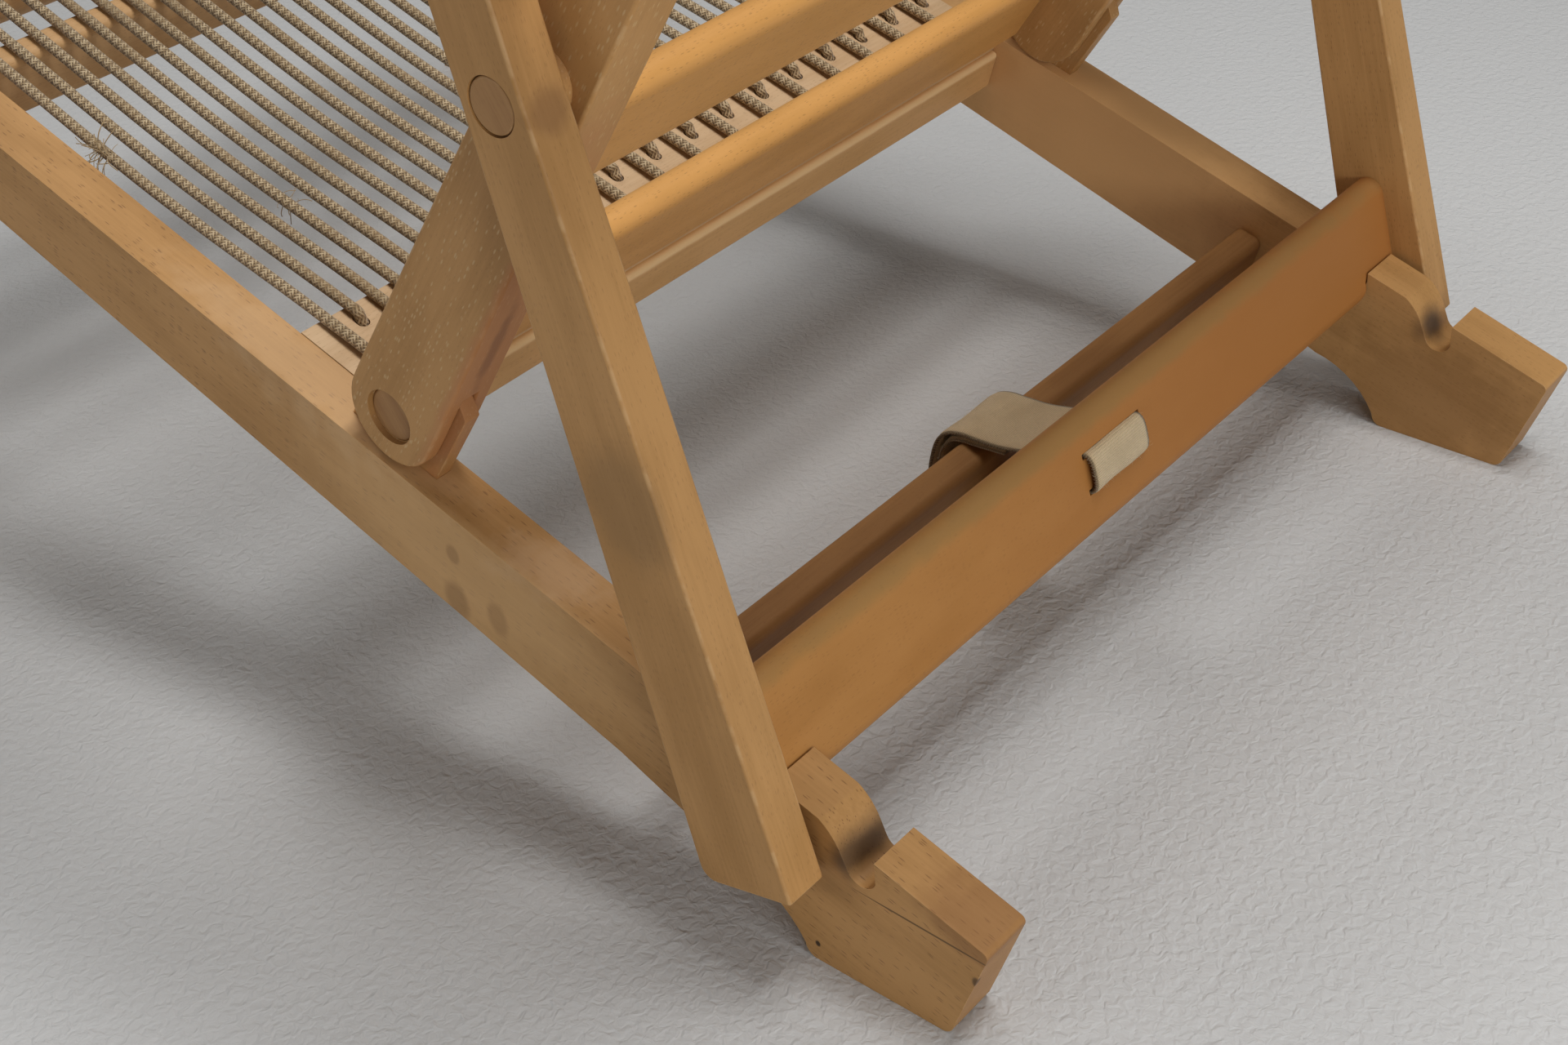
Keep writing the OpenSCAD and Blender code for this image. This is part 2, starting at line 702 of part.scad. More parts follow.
module right() {
    mirror([1, 0, 0]) children();
}
left_seat_rail();
right() left_seat_rail();  // right_seat_rail
left_pivot_lug();
right() left_pivot_lug();  // right_pivot_lug
left_pivot_dowel();
right() left_pivot_dowel();  // right_pivot_dowel
rear_stretcher();
middle_seat_bar();
rear_rope_board();
rear_board_strip();
front_rope_board();
front_board_strip();
seat_cord();
left_back_stile();
right() left_back_stile();  // right_back_stile
lower_back_bar();
upper_back_bar();
lower_back_rope_board();
lower_back_strip();
upper_back_rope_board();
upper_back_strip();
back_top_rail();
back_cord();
left_leg_dowel();
right() left_leg_dowel();  // right_leg_dowel
left_arm_dowel();
right() left_arm_dowel();  // right_arm_dowel
stile_washers();
left_rear_post();
right() left_rear_post();  // right_rear_post
leg_bar();
webbing_strap();
left_arm_rail();
right() left_arm_rail();  // right_arm_rail
left_arm_cap();
right() left_arm_cap();  // right_arm_cap
left_front_dowel();
right() left_front_dowel();  // right_front_dowel
left_front_leg();
right() left_front_leg();  // right_front_leg
front_axle();
axle_spacers();
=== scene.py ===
import bmesh
import bpy
import math
from mathutils import Matrix, Vector


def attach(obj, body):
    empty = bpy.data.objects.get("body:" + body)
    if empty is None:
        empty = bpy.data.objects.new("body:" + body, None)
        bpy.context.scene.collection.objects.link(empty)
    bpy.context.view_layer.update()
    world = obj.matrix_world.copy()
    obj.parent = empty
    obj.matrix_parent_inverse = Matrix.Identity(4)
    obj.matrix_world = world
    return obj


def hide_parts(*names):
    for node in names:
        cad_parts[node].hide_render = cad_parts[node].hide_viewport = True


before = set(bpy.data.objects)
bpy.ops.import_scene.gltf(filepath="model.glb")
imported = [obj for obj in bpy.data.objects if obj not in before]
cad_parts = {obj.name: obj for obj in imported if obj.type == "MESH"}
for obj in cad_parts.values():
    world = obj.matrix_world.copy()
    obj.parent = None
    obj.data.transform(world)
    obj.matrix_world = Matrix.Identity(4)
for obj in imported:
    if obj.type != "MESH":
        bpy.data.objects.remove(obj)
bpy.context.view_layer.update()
print("frame loaded:", len(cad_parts), "nodes")

# the camera stands behind the sitter's left heel, as in the photograph
cameraView = dict(place=(0.8019, 0.8084, 0.7527), yaw=47.336, pitch=35.563, roll=-4.6205,
                  focalPixels=2733.43, imageWidth=1920, sensorWidth=36, clipStart=0.02)


def aimCamera(view):
    yaw, pitch, roll = (math.radians(view[key]) for key in ("yaw", "pitch", "roll"))
    forward = Vector((-math.sin(yaw) * math.cos(pitch), -math.cos(yaw) * math.cos(pitch),
                      -math.sin(pitch)))
    level = Vector((-math.cos(yaw), math.sin(yaw), 0))
    upright = level.cross(forward)
    right = math.cos(roll) * level + math.sin(roll) * upright
    up = -math.sin(roll) * level + math.cos(roll) * upright
    data = bpy.data.cameras.new("camera")
    data.sensor_width = view["sensorWidth"]
    data.lens = view["focalPixels"] / view["imageWidth"] * view["sensorWidth"]
    data.clip_start = view["clipStart"]
    camera = bpy.data.objects.new("camera", data)
    facing = Matrix((right, up, -forward)).transposed().to_4x4()
    camera.matrix_world = Matrix.Translation(view["place"]) @ facing
    bpy.context.scene.collection.objects.link(camera)
    bpy.context.scene.camera = camera


aimCamera(cameraView)
print("camera set")

# the chair's side measures in metres and degrees; forward is -Y
chair = dict(middle=0.401097, railSlope=18.2, railLift=0.070, pivot=(0.318, 0.2036), backLean=34.5,
             legPivot=(0.178644, 0.406335), postLean=14.2959, armPivot=(0.120871, 0.490396),
             armSlope=10.8997)


def stand(x, forward, height):
    return Vector((x, chair["middle"] - forward, height))


def railPoint(x, along, above):
    a = math.radians(chair["railSlope"])
    return stand(x, along * math.cos(a) - above * math.sin(a),
                 chair["railLift"] + along * math.sin(a) + above * math.cos(a))


def stilePoint(x, along, front):
    a = math.radians(chair["backLean"])
    u, z = chair["pivot"]
    return stand(x, u - along * math.sin(a) + front * math.cos(a),
                 z + along * math.cos(a) + front * math.sin(a))


def postPoint(x, along, front):
    a = math.radians(chair["postLean"])
    u, z = chair["legPivot"]
    return stand(x, u + along * math.sin(a) + front * math.cos(a),
                 z + along * math.cos(a) - front * math.sin(a))


def colour(hexText):
    # sRGB to linear
    parts = [int(hexText[i:i + 2], 16) / 255 for i in (1, 3, 5)]
    return [c / 12.92 if c <= 0.04045 else ((c + 0.055) / 1.055) ** 2.4 for c in parts] + [1.0]


# kinds of node and settings that the materials share
mathNode, rangeNode, mixNode = "ShaderNodeMath", "ShaderNodeMapRange", "ShaderNodeMix"
noiseNode, mappingNode = "ShaderNodeTexNoise", "ShaderNodeMapping"
attributeNode, bumpNode = "ShaderNodeAttribute", "ShaderNodeBump"
soft, over = dict(interpolation_type="SMOOTHSTEP"), dict(data_type="RGBA")
add, subtract = dict(operation="ADD"), dict(operation="SUBTRACT")
multiply, multiplyAdd = dict(operation="MULTIPLY"), dict(operation="MULTIPLY_ADD")


def addNode(tree, kind, settings, inputs, out=0):
    # an input is a link where its value is another node's socket, and a plain value otherwise;
    # a range node takes a value at 0, its span at 1 and 2 and what they turn into at 3 and 4,
    # and a colour mix takes its share at 0 and the two colours at 6 and 7
    node = tree.nodes.new(kind)
    for key, value in settings.items():
        setattr(node, key, value)
    for key, value in inputs.items():
        if isinstance(value, bpy.types.NodeSocket):
            tree.links.new(value, node.inputs[key])
        else:
            node.inputs[key].default_value = value
    return node.outputs[out] if len(node.outputs) else node


def newMaterial(name, rough, specular):
    material = bpy.data.materials.new(name)
    material.use_nodes = True
    tree = material.node_tree
    tree.nodes.clear()
    surface = addNode(tree, "ShaderNodeBsdfPrincipled", {},
                      {"Roughness": rough, "Specular IOR Level": specular})
    addNode(tree, "ShaderNodeOutputMaterial", {}, {0: surface})
    return material, tree, surface.node


def addPiece(name, mesh, material, body, nodes):
    mesh.materials.clear()
    mesh.materials.append(material)
    piece = bpy.data.objects.new(name, mesh)
    bpy.context.scene.collection.objects.link(piece)
    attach(piece, body)
    if nodes:
        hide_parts(*nodes)
    return piece


# oiled beech, forty years old: an even, faintly mottled tan with fine dark vessels, drawn
# 3.6 mm long and 0.7 mm wide, a little coarser than life, so that they show; the scales count
# patterns in a metre, so patches are 91 by 29 mm and streaks 56 by 1.6 mm
beech = dict(
    light="#BF915A", dark="#AD814C", fleck="#765030", ray="#CFB184", worn="#CDA777",
    endGrain="#9A7048", rough=0.52, polish=0.14, specular=0.3, seedShift=(0.37, 0.11, 0),
    patchScale=(11, 34, 34), streakScale=(18, 640, 640), streaks=0.35,
    shadeFrom=0.32, shadeTo=0.72,
    flecks=0.5, fleckLength=0.0036, fleckWidth=0.0007, fleckChance=0.62,
    rays=0.0, rayLength=0.0055, rayWidth=0.0014, rayChance=0.55,
    chanceSpread=0.2, dashCore=0.16, dashRim=0.42, endFrom=0.7, endTo=0.97, endCover=0.5,
    raggedScale=75.0, paleEdgeFrom=0.45, bareTo=0.62, paleEdgeCover=0.55, grainDepth=0.0001, grainBump=0.3)
# what a mark has unless its row says otherwise: a ragged rim that fades over a third of its size
plainMark = dict(lean=0, rim=0.6, fade=0.35, edge=1.2)


def beechMaterial(name, turn, seed, look, marks=()):
    # turn lays the grain of the piece along the pattern's X axis
    look = {**beech, **look}
    material, tree, shader = newMaterial(name, look["rough"], look["specular"])
    place = addNode(tree, "ShaderNodeTexCoord", {}, {}, "Object")
    grain = addNode(tree, mappingNode, {},
                    {0: place, "Rotation": [math.radians(a) for a in turn],
                     "Location": [seed * shift for shift in look["seedShift"]]})
    # mottled patches a few centimetres long, and fine streaks
    patches = addNode(tree, mappingNode, {}, {0: grain, "Scale": look["patchScale"]})
    mottle = addNode(tree, noiseNode, {}, {"Vector": patches, "Scale": 1.0, "Detail": 3.0})
    threads = addNode(tree, mappingNode, {}, {0: grain, "Scale": look["streakScale"]})
    streak = addNode(tree, noiseNode, {}, {"Vector": threads, "Scale": 1.0, "Detail": 2.0})
    uneven = addNode(tree, mathNode, multiplyAdd, {0: streak, 1: look["streaks"], 2: mottle})
    shade = addNode(tree, rangeNode, soft, {0: uneven, 1: look["shadeFrom"] + look["streaks"] / 2,
                                            2: look["shadeTo"] + look["streaks"] / 2})
    wood = addNode(tree, mixNode, over,
                   {0: shade, 6: colour(look["light"]), 7: colour(look["dark"])}, 2)
    # dashes: short marks in cells stretched along the grain, dark for vessels and pale for rays
    relief = streak
    for kind, strength in (("fleck", look["flecks"]), ("ray", look["rays"])):
        if strength == 0:
            continue
        length, width, chance = (look[kind + part] for part in ("Length", "Width", "Chance"))
        cell = addNode(tree, mappingNode, {},
                       {0: grain, "Scale": (1 / length, 1 / width, 1 / width)})
        near = addNode(tree, "ShaderNodeTexVoronoi", {}, {"Vector": cell, "Scale": 1.0})
        draw = addNode(tree, "ShaderNodeSeparateColor", {}, {0: near.node.outputs["Color"]})
        shown = addNode(tree, rangeNode, soft,
                        {0: draw, 1: chance, 2: chance + look["chanceSpread"], 3: 0.0, 4: strength})
        dash = addNode(tree, rangeNode, soft,
                       {0: near, 1: look["dashCore"], 2: look["dashRim"], 3: shown, 4: 0.0})
        wood = addNode(tree, mixNode, over, {0: dash, 6: wood, 7: colour(look[kind])}, 2)
        relief = addNode(tree, mathNode, subtract, {0: relief, 1: dash})
    # end grain drinks more oil and reads darker; eased edges are paler in ragged patches, partly
    # from use and partly a painted highlight standing in for the light that the rounded edges catch
    ends = addNode(tree, attributeNode, dict(attribute_name="endGrain"), {}, "Fac")
    drunk = addNode(tree, rangeNode, soft,
                    {0: ends, 1: look["endFrom"], 2: look["endTo"], 3: 0.0, 4: look["endCover"]})
    wood = addNode(tree, mixNode, over, {0: drunk, 6: wood, 7: colour(look["endGrain"])}, 2)
    ragged = addNode(tree, noiseNode, {},
                     {"Vector": place, "Scale": look["raggedScale"], "Detail": 4.0})
    edge = addNode(tree, attributeNode, dict(attribute_name="wear"), {}, "Fac")
    bareAndLit = addNode(tree, rangeNode, soft,
                   {0: ragged, 1: look["paleEdgeFrom"], 2: look["bareTo"], 3: 0.0, 4: edge})
    rubbedAndLit = addNode(tree, mathNode, multiply, {0: bareAndLit, 1: look["paleEdgeCover"]})
    wood = addNode(tree, mixNode, over, {0: rubbedAndLit, 6: wood, 7: colour(look["worn"])}, 2)
    # old marks: stains, burns, a crack, paler and darker patches, each an oval with an uneven rim
    for mark in ({**plainMark, **row} for row in marks):
        local = addNode(tree, mappingNode, dict(vector_type="TEXTURE"),
                        {0: place, "Location": mark["at"], "Scale": mark["size"],
                         "Rotation": (math.radians(mark["lean"]), 0, 0)})
        reach = addNode(tree, "ShaderNodeVectorMath", dict(operation="LENGTH"), {0: local}, 1)
        rim = addNode(tree, mathNode, multiplyAdd, {0: ragged, 1: mark["rim"], 2: reach})
        cover = addNode(tree, rangeNode, soft, {0: rim, 1: mark["edge"] - mark["fade"],
                                                2: mark["edge"] + mark["fade"],
                                                3: mark["strength"], 4: 0.0})
        wood = addNode(tree, mixNode, over, {0: cover, 6: wood, 7: colour(mark["hex"])}, 2)
    polish = addNode(tree, mathNode, multiplyAdd, {0: mottle, 1: look["polish"],
                                                   2: look["rough"] - look["polish"] / 2})
    bump = addNode(tree, bumpNode, {}, {"Strength": look["grainBump"],
                                        "Distance": look["grainDepth"], "Height": relief})
    for key, value in (("Base Color", wood), ("Roughness", polish), ("Normal", bump)):
        tree.links.new(value, shader.inputs[key])
    return material


# how the sander left the edges, in metres and degrees
sanding = dict(merge=0.00001, flat=0.3, corner=28, cuts=3, blunt=20, bluntCuts=5,
               shortest=0.005, profile=0.5, crease=32, evenWeight=80)


def nearSpot(point, spots):
    # spots are given in the side view, each with its reach
    return any((point.yz - Vector((y, z))).length < reach for y, z, reach in spots)


def easedPlank(row):
    # the node's own shape with its corners rounded
    bm = bmesh.new()
    bm.from_mesh(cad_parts[row["node"]].data)
    bmesh.ops.remove_doubles(bm, verts=bm.verts, dist=sanding["merge"])
    bmesh.ops.recalc_face_normals(bm, faces=bm.faces)
    bmesh.ops.dissolve_limit(bm, angle_limit=math.radians(sanding["flat"]), verts=bm.verts,
                             edges=bm.edges)
    for y, z, reach, size in row["rounder"]:
        blunt = [edge for edge in bm.edges
                 if edge.calc_face_angle_signed(0) > math.radians(sanding["blunt"])
                 and all(nearSpot(vert.co, [(y, z, reach)]) for vert in edge.verts)
                 and abs(edge.verts[0].co.x - edge.verts[1].co.x) > sanding["shortest"]]
        bmesh.ops.bevel(bm, geom=blunt, offset=size, offset_type="OFFSET", affect="EDGES",
                        segments=sanding["bluntCuts"], profile=sanding["profile"])
    corners = [edge for edge in bm.edges if len(edge.link_faces) == 2
               and edge.calc_face_angle_signed(0) > math.radians(sanding["corner"])
               and not nearSpot((edge.verts[0].co + edge.verts[1].co) / 2, row["keep"])]
    made = bmesh.ops.bevel(bm, geom=corners, offset=row["ease"], offset_type="OFFSET",
                           segments=sanding["cuts"], profile=sanding["profile"], affect="EDGES",
                           clamp_overlap=True)
    rounded = set(made["faces"])
    x, y, z = (Matrix.Rotation(math.radians(angle), 3, axis)
               for angle, axis in zip(row["turn"], "XYZ"))
    along = (z @ y @ x).transposed() @ Vector((1, 0, 0))
    bm.verts.index_update()
    # the vertices of the rounded edges, which carry the marks of use and a painted highlight
    worn = [1.0 if vert.link_faces and all(face in rounded for face in vert.link_faces) else 0.0
            for vert in bm.verts]
    ends = [abs(face.normal.dot(along)) for face in bm.faces]
    for face in bm.faces:
        face.smooth = True
    mesh = bpy.data.meshes.new(row["name"])
    bm.to_mesh(mesh)
    bm.free()
    mesh.attributes.new("wear", "FLOAT", "POINT").data.foreach_set("value", worn)
    mesh.attributes.new("endGrain", "FLOAT", "FACE").data.foreach_set("value", ends)
    piece = addPiece(row["name"], mesh, row["material"], row["body"], [row["node"]])
    mesh.set_sharp_from_angle(angle=math.radians(sanding["crease"]))
    weighted = piece.modifiers.new("evenShading", "WEIGHTED_NORMAL")
    weighted.weight = sanding["evenWeight"]
    weighted.keep_sharp = True


railTurn = (chair["railSlope"], 0, 90)
stileTurn = (90 + chair["backLean"], 0, 90)
postTurn = (90 - chair["postLean"], 0, 90)
armTurn = (chair["armSlope"], 0, 90)
railBarTurn = (chair["railSlope"], 0, 0)
stileBarTurn = (90 + chair["backLean"], 0, 0)
postBarTurn = (90 - chair["postLean"], 0, 0)
dowelTurn = (60, 0, 90)

# marks seen on the photographed chair: places and half sizes in metres, leans in degrees
fingerBack = railPoint(0, 0.053, -0.013)
railLean, stileLean = -chair["railSlope"], -chair["backLean"]
stain, burn = "#7E5A33", "#43352A"
leftRailMarks = [
    dict(at=railPoint(0.280, 0.285, -0.030), size=(0.004, 0.11, 0.045), lean=railLean,
         hex="#DCB37E", strength=0.5, fade=0.6),
    dict(at=stand(0.280, 0.290, 0.110), size=(0.004, 0.0075, 0.0105),
         hex=stain, strength=0.45, rim=0.3),
    dict(at=stand(0.280, 0.287, 0.139), size=(0.004, 0.004, 0.005),
         hex=stain, strength=0.4, rim=0.3),
    dict(at=stand(0.280, 0.262, 0.111), size=(0.004, 0.006, 0.009),
         hex=stain, strength=0.35, rim=0.3),
    dict(at=railPoint(0.266, 0.245, 0), size=(0.03, 0.055, 0.02),
         hex="#CBA67E", strength=0.5, rim=1.4),
    dict(at=railPoint(0.266, 0.400, 0), size=(0.02, 0.12, 0.03), lean=railLean,
         hex="#D8B48A", strength=0.4, rim=0.8),
    dict(at=stand(0.266, -0.020, 0.062), size=(0.05, 0.045, 0.012), lean=railLean,
         hex="#8E6238", strength=0.6, rim=0.8),
    dict(at=(0.266, fingerBack.y, fingerBack.z - 0.002), size=(0.030, 0.010, 0.010),
         hex=burn, strength=0.8, rim=0.7, fade=0.6),
    # the crack in the foot, and two small dark spots
    dict(at=stand(0.280, 0.010, 0.0572), size=(0.004, 0.034, 0.0005), lean=-2.6,
         hex="#5B4128", strength=0.85, rim=0.2),
    dict(at=stand(0.280, 0.0737, 0.0105), size=(0.003, 0.0014, 0.0017),
         hex="#2E2116", strength=0.95, rim=0.3),
    dict(at=stand(0.280, -0.0150, 0.0420), size=(0.003, 0.0022, 0.0030),
         hex="#4A3420", strength=0.8, rim=0.4),
]
rightRailMarks = [
    dict(at=(-0.262, fingerBack.y, fingerBack.z - 0.001), size=(0.011, 0.009, 0.010),
         hex=burn, strength=0.85, fade=0.6),
    dict(at=stand(-0.252, 0.050, 0.030), size=(0.01, 0.09, 0.05),
         hex="#8A6236", strength=0.45, rim=1.0),
    dict(at=railPoint(-0.262, 0.300, -0.020), size=(0.05, 0.13, 0.07), lean=railLean,
         hex="#DAAB74", strength=0.8, rim=0.5, fade=0.5),
]
leftPostMarks = [
    dict(at=stand(0.295, 0.160, 0.405), size=(0.012, 0.009, 0.010),
         hex="#7A5433", strength=0.5, rim=0.8),
    dict(at=stand(0.3066, 0.1335, 0.243), size=(0.006, 0.028, 0.024), lean=-75.7,
         hex="#7D6240", strength=0.35, rim=0.5),
]
legBarPaintedShade = [
    # painted shade: the far end of the bar darker and more orange, where less light reaches it
    dict(at=postPoint(-0.30, -0.320, 0.0028), size=(0.36, 0.2, 0.2),
         hex="#A46B34", strength=0.9, rim=0.3, fade=0.6),
    # painted shade: a dull olive band along the rounded top edge
    dict(at=postPoint(0.0, -0.2755, -0.004), size=(0.40, 0.012, 0.006),
         hex="#8A7448", strength=0.5, rim=0.8, fade=0.5),
]
stripEdgeHighlight = [  # a painted highlight along the rounded upper edge, standing in for the light it catches
    dict(at=railPoint(0, 0.3668, -0.0104), size=(0.5, 0.0030, 0.0030),
         hex="#F6D29C", strength=0.8, rim=0.35, fade=0.4),
]
stileMarks = [
    dict(at=stilePoint(0.264, 0.11, -0.027), size=(0.03, 0.007, 0.16), lean=stileLean,
         hex="#BC7E50", strength=0.65, rim=0.5),
    dict(at=stilePoint(0.264, 0.085, -0.025), size=(0.006, 0.05, 0.05),
         hex="#7A4E34", strength=0.5, rim=1.2),
    dict(at=stilePoint(-0.264, 0.085, -0.025), size=(0.006, 0.05, 0.05),
         hex="#7A4E34", strength=0.5, rim=1.2),
]

# other boards of the same beech: the leg bar more orange and plainer, the stretcher browner as
# painted shade for the leg bar's shadow on it, the rope boards pale because the cord shades them,
# and the dowels duller
orange = dict(light="#B68144", dark="#AB773B", fleck="#84592F", worn="#BF9158", flecks=0.4,
              streaks=0.12, rough=0.6)
# painted shade: the whole stretcher darker and browner, standing in for the leg bar's shadow on it
shadedBrown = dict(light="#A07444", dark="#8E6438", worn="#AC8454", flecks=0.25, rough=0.6)
pale = dict(light="#D3B48E", dark="#C4A27A", endGrain="#B08F64", worn="#DDC3A0", flecks=0.25)
dowel = dict(light="#A97F50", dark="#94693F", endGrain="#8E6338", flecks=0.2)
leftRail = dict(flecks=0.65, fleckLength=0.0062, fleckWidth=0.0010)
seatBar = dict(light="#C8A070", dark="#BA9160", flecks=0.3)
backBar = dict(light="#D29B58", dark="#C5904E", flecks=0.4, streaks=0.2)
strip = dict(light="#D2A46C", dark="#C69960", flecks=0.3)
woods = dict(
    leftRail=beechMaterial("oiledBeechLeftRail", railTurn, 1, leftRail, leftRailMarks),
    rightRail=beechMaterial("oiledBeechRightRail", railTurn, 2, dict(flecks=0.4), rightRailMarks),
    stile=beechMaterial("oiledBeechStile", stileTurn, 3, dict(rays=0.6, flecks=0.2), stileMarks),
    leftPost=beechMaterial("oiledBeechLeftPost", postTurn, 4, dict(flecks=0.3), leftPostMarks),
    rightPost=beechMaterial("oiledBeechRightPost", postTurn, 5, dict(flecks=0.45)),
    arm=beechMaterial("oiledBeechArm", armTurn, 6, {}),
    frontLeg=beechMaterial("oiledBeechFrontLeg", stileTurn, 7, {}),
    seatBar=beechMaterial("oiledBeechSeatBar", railBarTurn, 8, seatBar),
    backBar=beechMaterial("oiledBeechBackBar", stileBarTurn, 9, backBar),
    strip=beechMaterial("oiledBeechStrip", railBarTurn, 15, strip, stripEdgeHighlight),
    legBar=beechMaterial("orangeBeechLegBar", postBarTurn, 10, orange, legBarPaintedShade),
    stretcher=beechMaterial("shadedBrownBeechStretcher", railBarTurn, 11, shadedBrown),
    board=beechMaterial("paleBeechRopeBoard", railBarTurn, 12, pale),
    backBoard=beechMaterial("paleBeechBackRopeBoard", stileBarTurn, 14, pale),
    dowel=beechMaterial("oiledBeechDowel", dowelTurn, 13, dowel),
)
# the rims of the pivot holes stay sharp; each spot is y, z and reach
holedPieces = ("*_pivot_lug", "*_back_stile", "*_rear_post", "*_arm_rail")
pivotHoles = [(chair["middle"] - chair["pivot"][0], chair["pivot"][1], 0.0165),
              (chair["middle"] - chair["legPivot"][0], chair["legPivot"][1], 0.0150),
              (chair["middle"] - chair["armPivot"][0], chair["armPivot"][1], 0.0140)]
# three corners of the rail's foot are rounder than the rest: y, z, reach and size
heel, toe = railPoint(0, -0.0235, -0.0015), stand(0, 0.080, 0)
railCorners = [(heel.y, heel.z, 0.004, 0.0035), (toe.y, toe.z, 0.004, 0.005),
               (chair["middle"], 0.0, 0.003, 0.004)]

# node, body, slot, wood, grain, ease in metres; a leading * makes a left and a right piece
planks = [
    ("*_seat_rail", "seat_frame", "beech", "*Rail", railTurn, 0.0019),
    ("*_pivot_lug", "seat_frame", "beech", "stile", stileTurn, 0.0006),
    ("*_pivot_dowel", "seat_frame", "beech", "dowel", dowelTurn, 0.0012),
    ("*_back_stile", "back_frame", "beech", "stile", stileTurn, 0.0018),
    ("*_leg_dowel", "back_frame", "beech", "dowel", dowelTurn, 0.0010),
    ("*_arm_dowel", "back_frame", "beech", "dowel", dowelTurn, 0.0010),
    ("*_rear_post", "leg_frame", "beech", "*Post", postTurn, 0.0017),
    ("*_arm_rail", "*_arm", "beech", "arm", armTurn, 0.0020),
    ("*_arm_cap", "*_arm", "beech", "arm", armTurn, 0.0045),
    ("*_front_dowel", "*_arm", "beech", "dowel", dowelTurn, 0.0010),
    ("*_front_leg", "front_legs", "beech", "frontLeg", stileTurn, 0.0020),
    ("rear_stretcher", "seat_frame", "orange_beech", "stretcher", railBarTurn, 0.0008),
    ("middle_seat_bar", "seat_frame", "beech", "seatBar", railBarTurn, 0.0008),
    ("rear_rope_board", "seat_frame", "pale_beech", "board", railBarTurn, 0.0006),
    ("front_rope_board", "seat_frame", "pale_beech", "board", railBarTurn, 0.0006),
    ("rear_board_strip", "seat_frame", "beech", "strip", railBarTurn, 0.0025),
    ("front_board_strip", "seat_frame", "beech", "strip", railBarTurn, 0.0025),
    ("lower_back_bar", "back_frame", "beech", "backBar", stileBarTurn, 0.0008),
    ("upper_back_bar", "back_frame", "beech", "backBar", stileBarTurn, 0.0008),
    ("lower_back_rope_board", "back_frame", "pale_beech", "backBoard", stileBarTurn, 0.0006),
    ("upper_back_rope_board", "back_frame", "pale_beech", "backBoard", stileBarTurn, 0.0006),
    ("lower_back_strip", "back_frame", "beech", "backBar", stileBarTurn, 0.0025),
    ("upper_back_strip", "back_frame", "beech", "backBar", stileBarTurn, 0.0025),
    ("back_top_rail", "back_frame", "beech", "backBar", stileBarTurn, 0.0010),
    ("stile_washers", "back_frame", "beech", "stile", stileTurn, 0.0004),
    ("leg_bar", "leg_frame", "orange_beech", "legBar", postBarTurn, 0.0012),
    ("front_axle", "front_legs", "beech", "seatBar", railBarTurn, 0.0012),
    ("axle_spacers", "front_legs", "pale_beech", "board", railBarTurn, 0.0012),
]
for node, body, slotName, wood, turn, ease in planks:
    for side in (("left", "right") if "*" in node else ("",)):
        first, *others = node.replace("*", side).split("_")
        easedPlank(dict(node=node.replace("*", side), body=body.replace("*", side), slot=slotName,
                        name=first + "".join(word.title() for word in others),
                        material=woods[wood.replace("*", side)], turn=turn, ease=ease,
                        keep=pivotHoles if node in holedPieces else (),
                        rounder=railCorners if node == "*_seat_rail" else ()))
print("planks, bars and dowels eased:", len(bpy.data.materials), "woods")

# one braided cord for each deck, laced back and forth over its two boards, in metres
lacing = dict(radius=0.003, runs=32, pitch=0.0154, rows=(0.043, 0.013), lay=0.00335, bend=0.0035,
              boardDepth=0.010, below=0.0005, lip=0.001, turnDepth=0.0144, turnLead=0.004,
              sides=12, step=0.0042)
decks = [
    dict(name="seatCord", node="seat_cord", body="seat_frame", point=railPoint,
         edges=(0.433, 0.800), tops=(0.0, 0.0), middle=[(0.56525, -0.003), (0.6975, -0.0001)]),
    dict(name="backCord", node="back_cord", body="back_frame", point=stilePoint,
         edges=(0.387, 0.722), tops=(0.02023, 0.01834), middle=[]),
]


def lacedRoute(deck, lace):
    half = (lace["runs"] - 1) * lace["pitch"] / 2
    points = []
    for k in range(lace["runs"]):
        x = half - k * lace["pitch"]
        run = []
        for end, away in ((0, -1), (1, 1)):
            edge, top = deck["edges"][end], deck["tops"][end]
            s = edge + away * lace["rows"][k % 2]
            run.append([(x, s, top - lace["boardDepth"] - lace["below"]),
                        (x, s, top - lace["lip"]),
                        (x, s - away * lace["bend"], top + lace["lay"]),
                        (x, edge - away * lace["lip"], top + lace["lay"])])
        line = run[0] + [(x, s, h) for s, h in deck["middle"]] + run[1][::-1]
        points += line[::-1] if k % 2 else line
        if k < lace["runs"] - 1:
            # the turn below the board, from this run's slot to the next one's
            far = 1 if k % 2 == 0 else 0
            away, edge, top = (1, -1)[1 - far], deck["edges"][far], deck["tops"][far]
            a = Vector((x, edge + away * lace["rows"][k % 2]))
            b = Vector((x - lace["pitch"], edge + away * lace["rows"][(k + 1) % 2]))
            lead = (b - a).normalized() * lace["turnLead"]
            points += [(p.x, p.y, top - lace["turnDepth"]) for p in (a + lead, b - lead)]
    return [deck["point"](*p) for p in points]


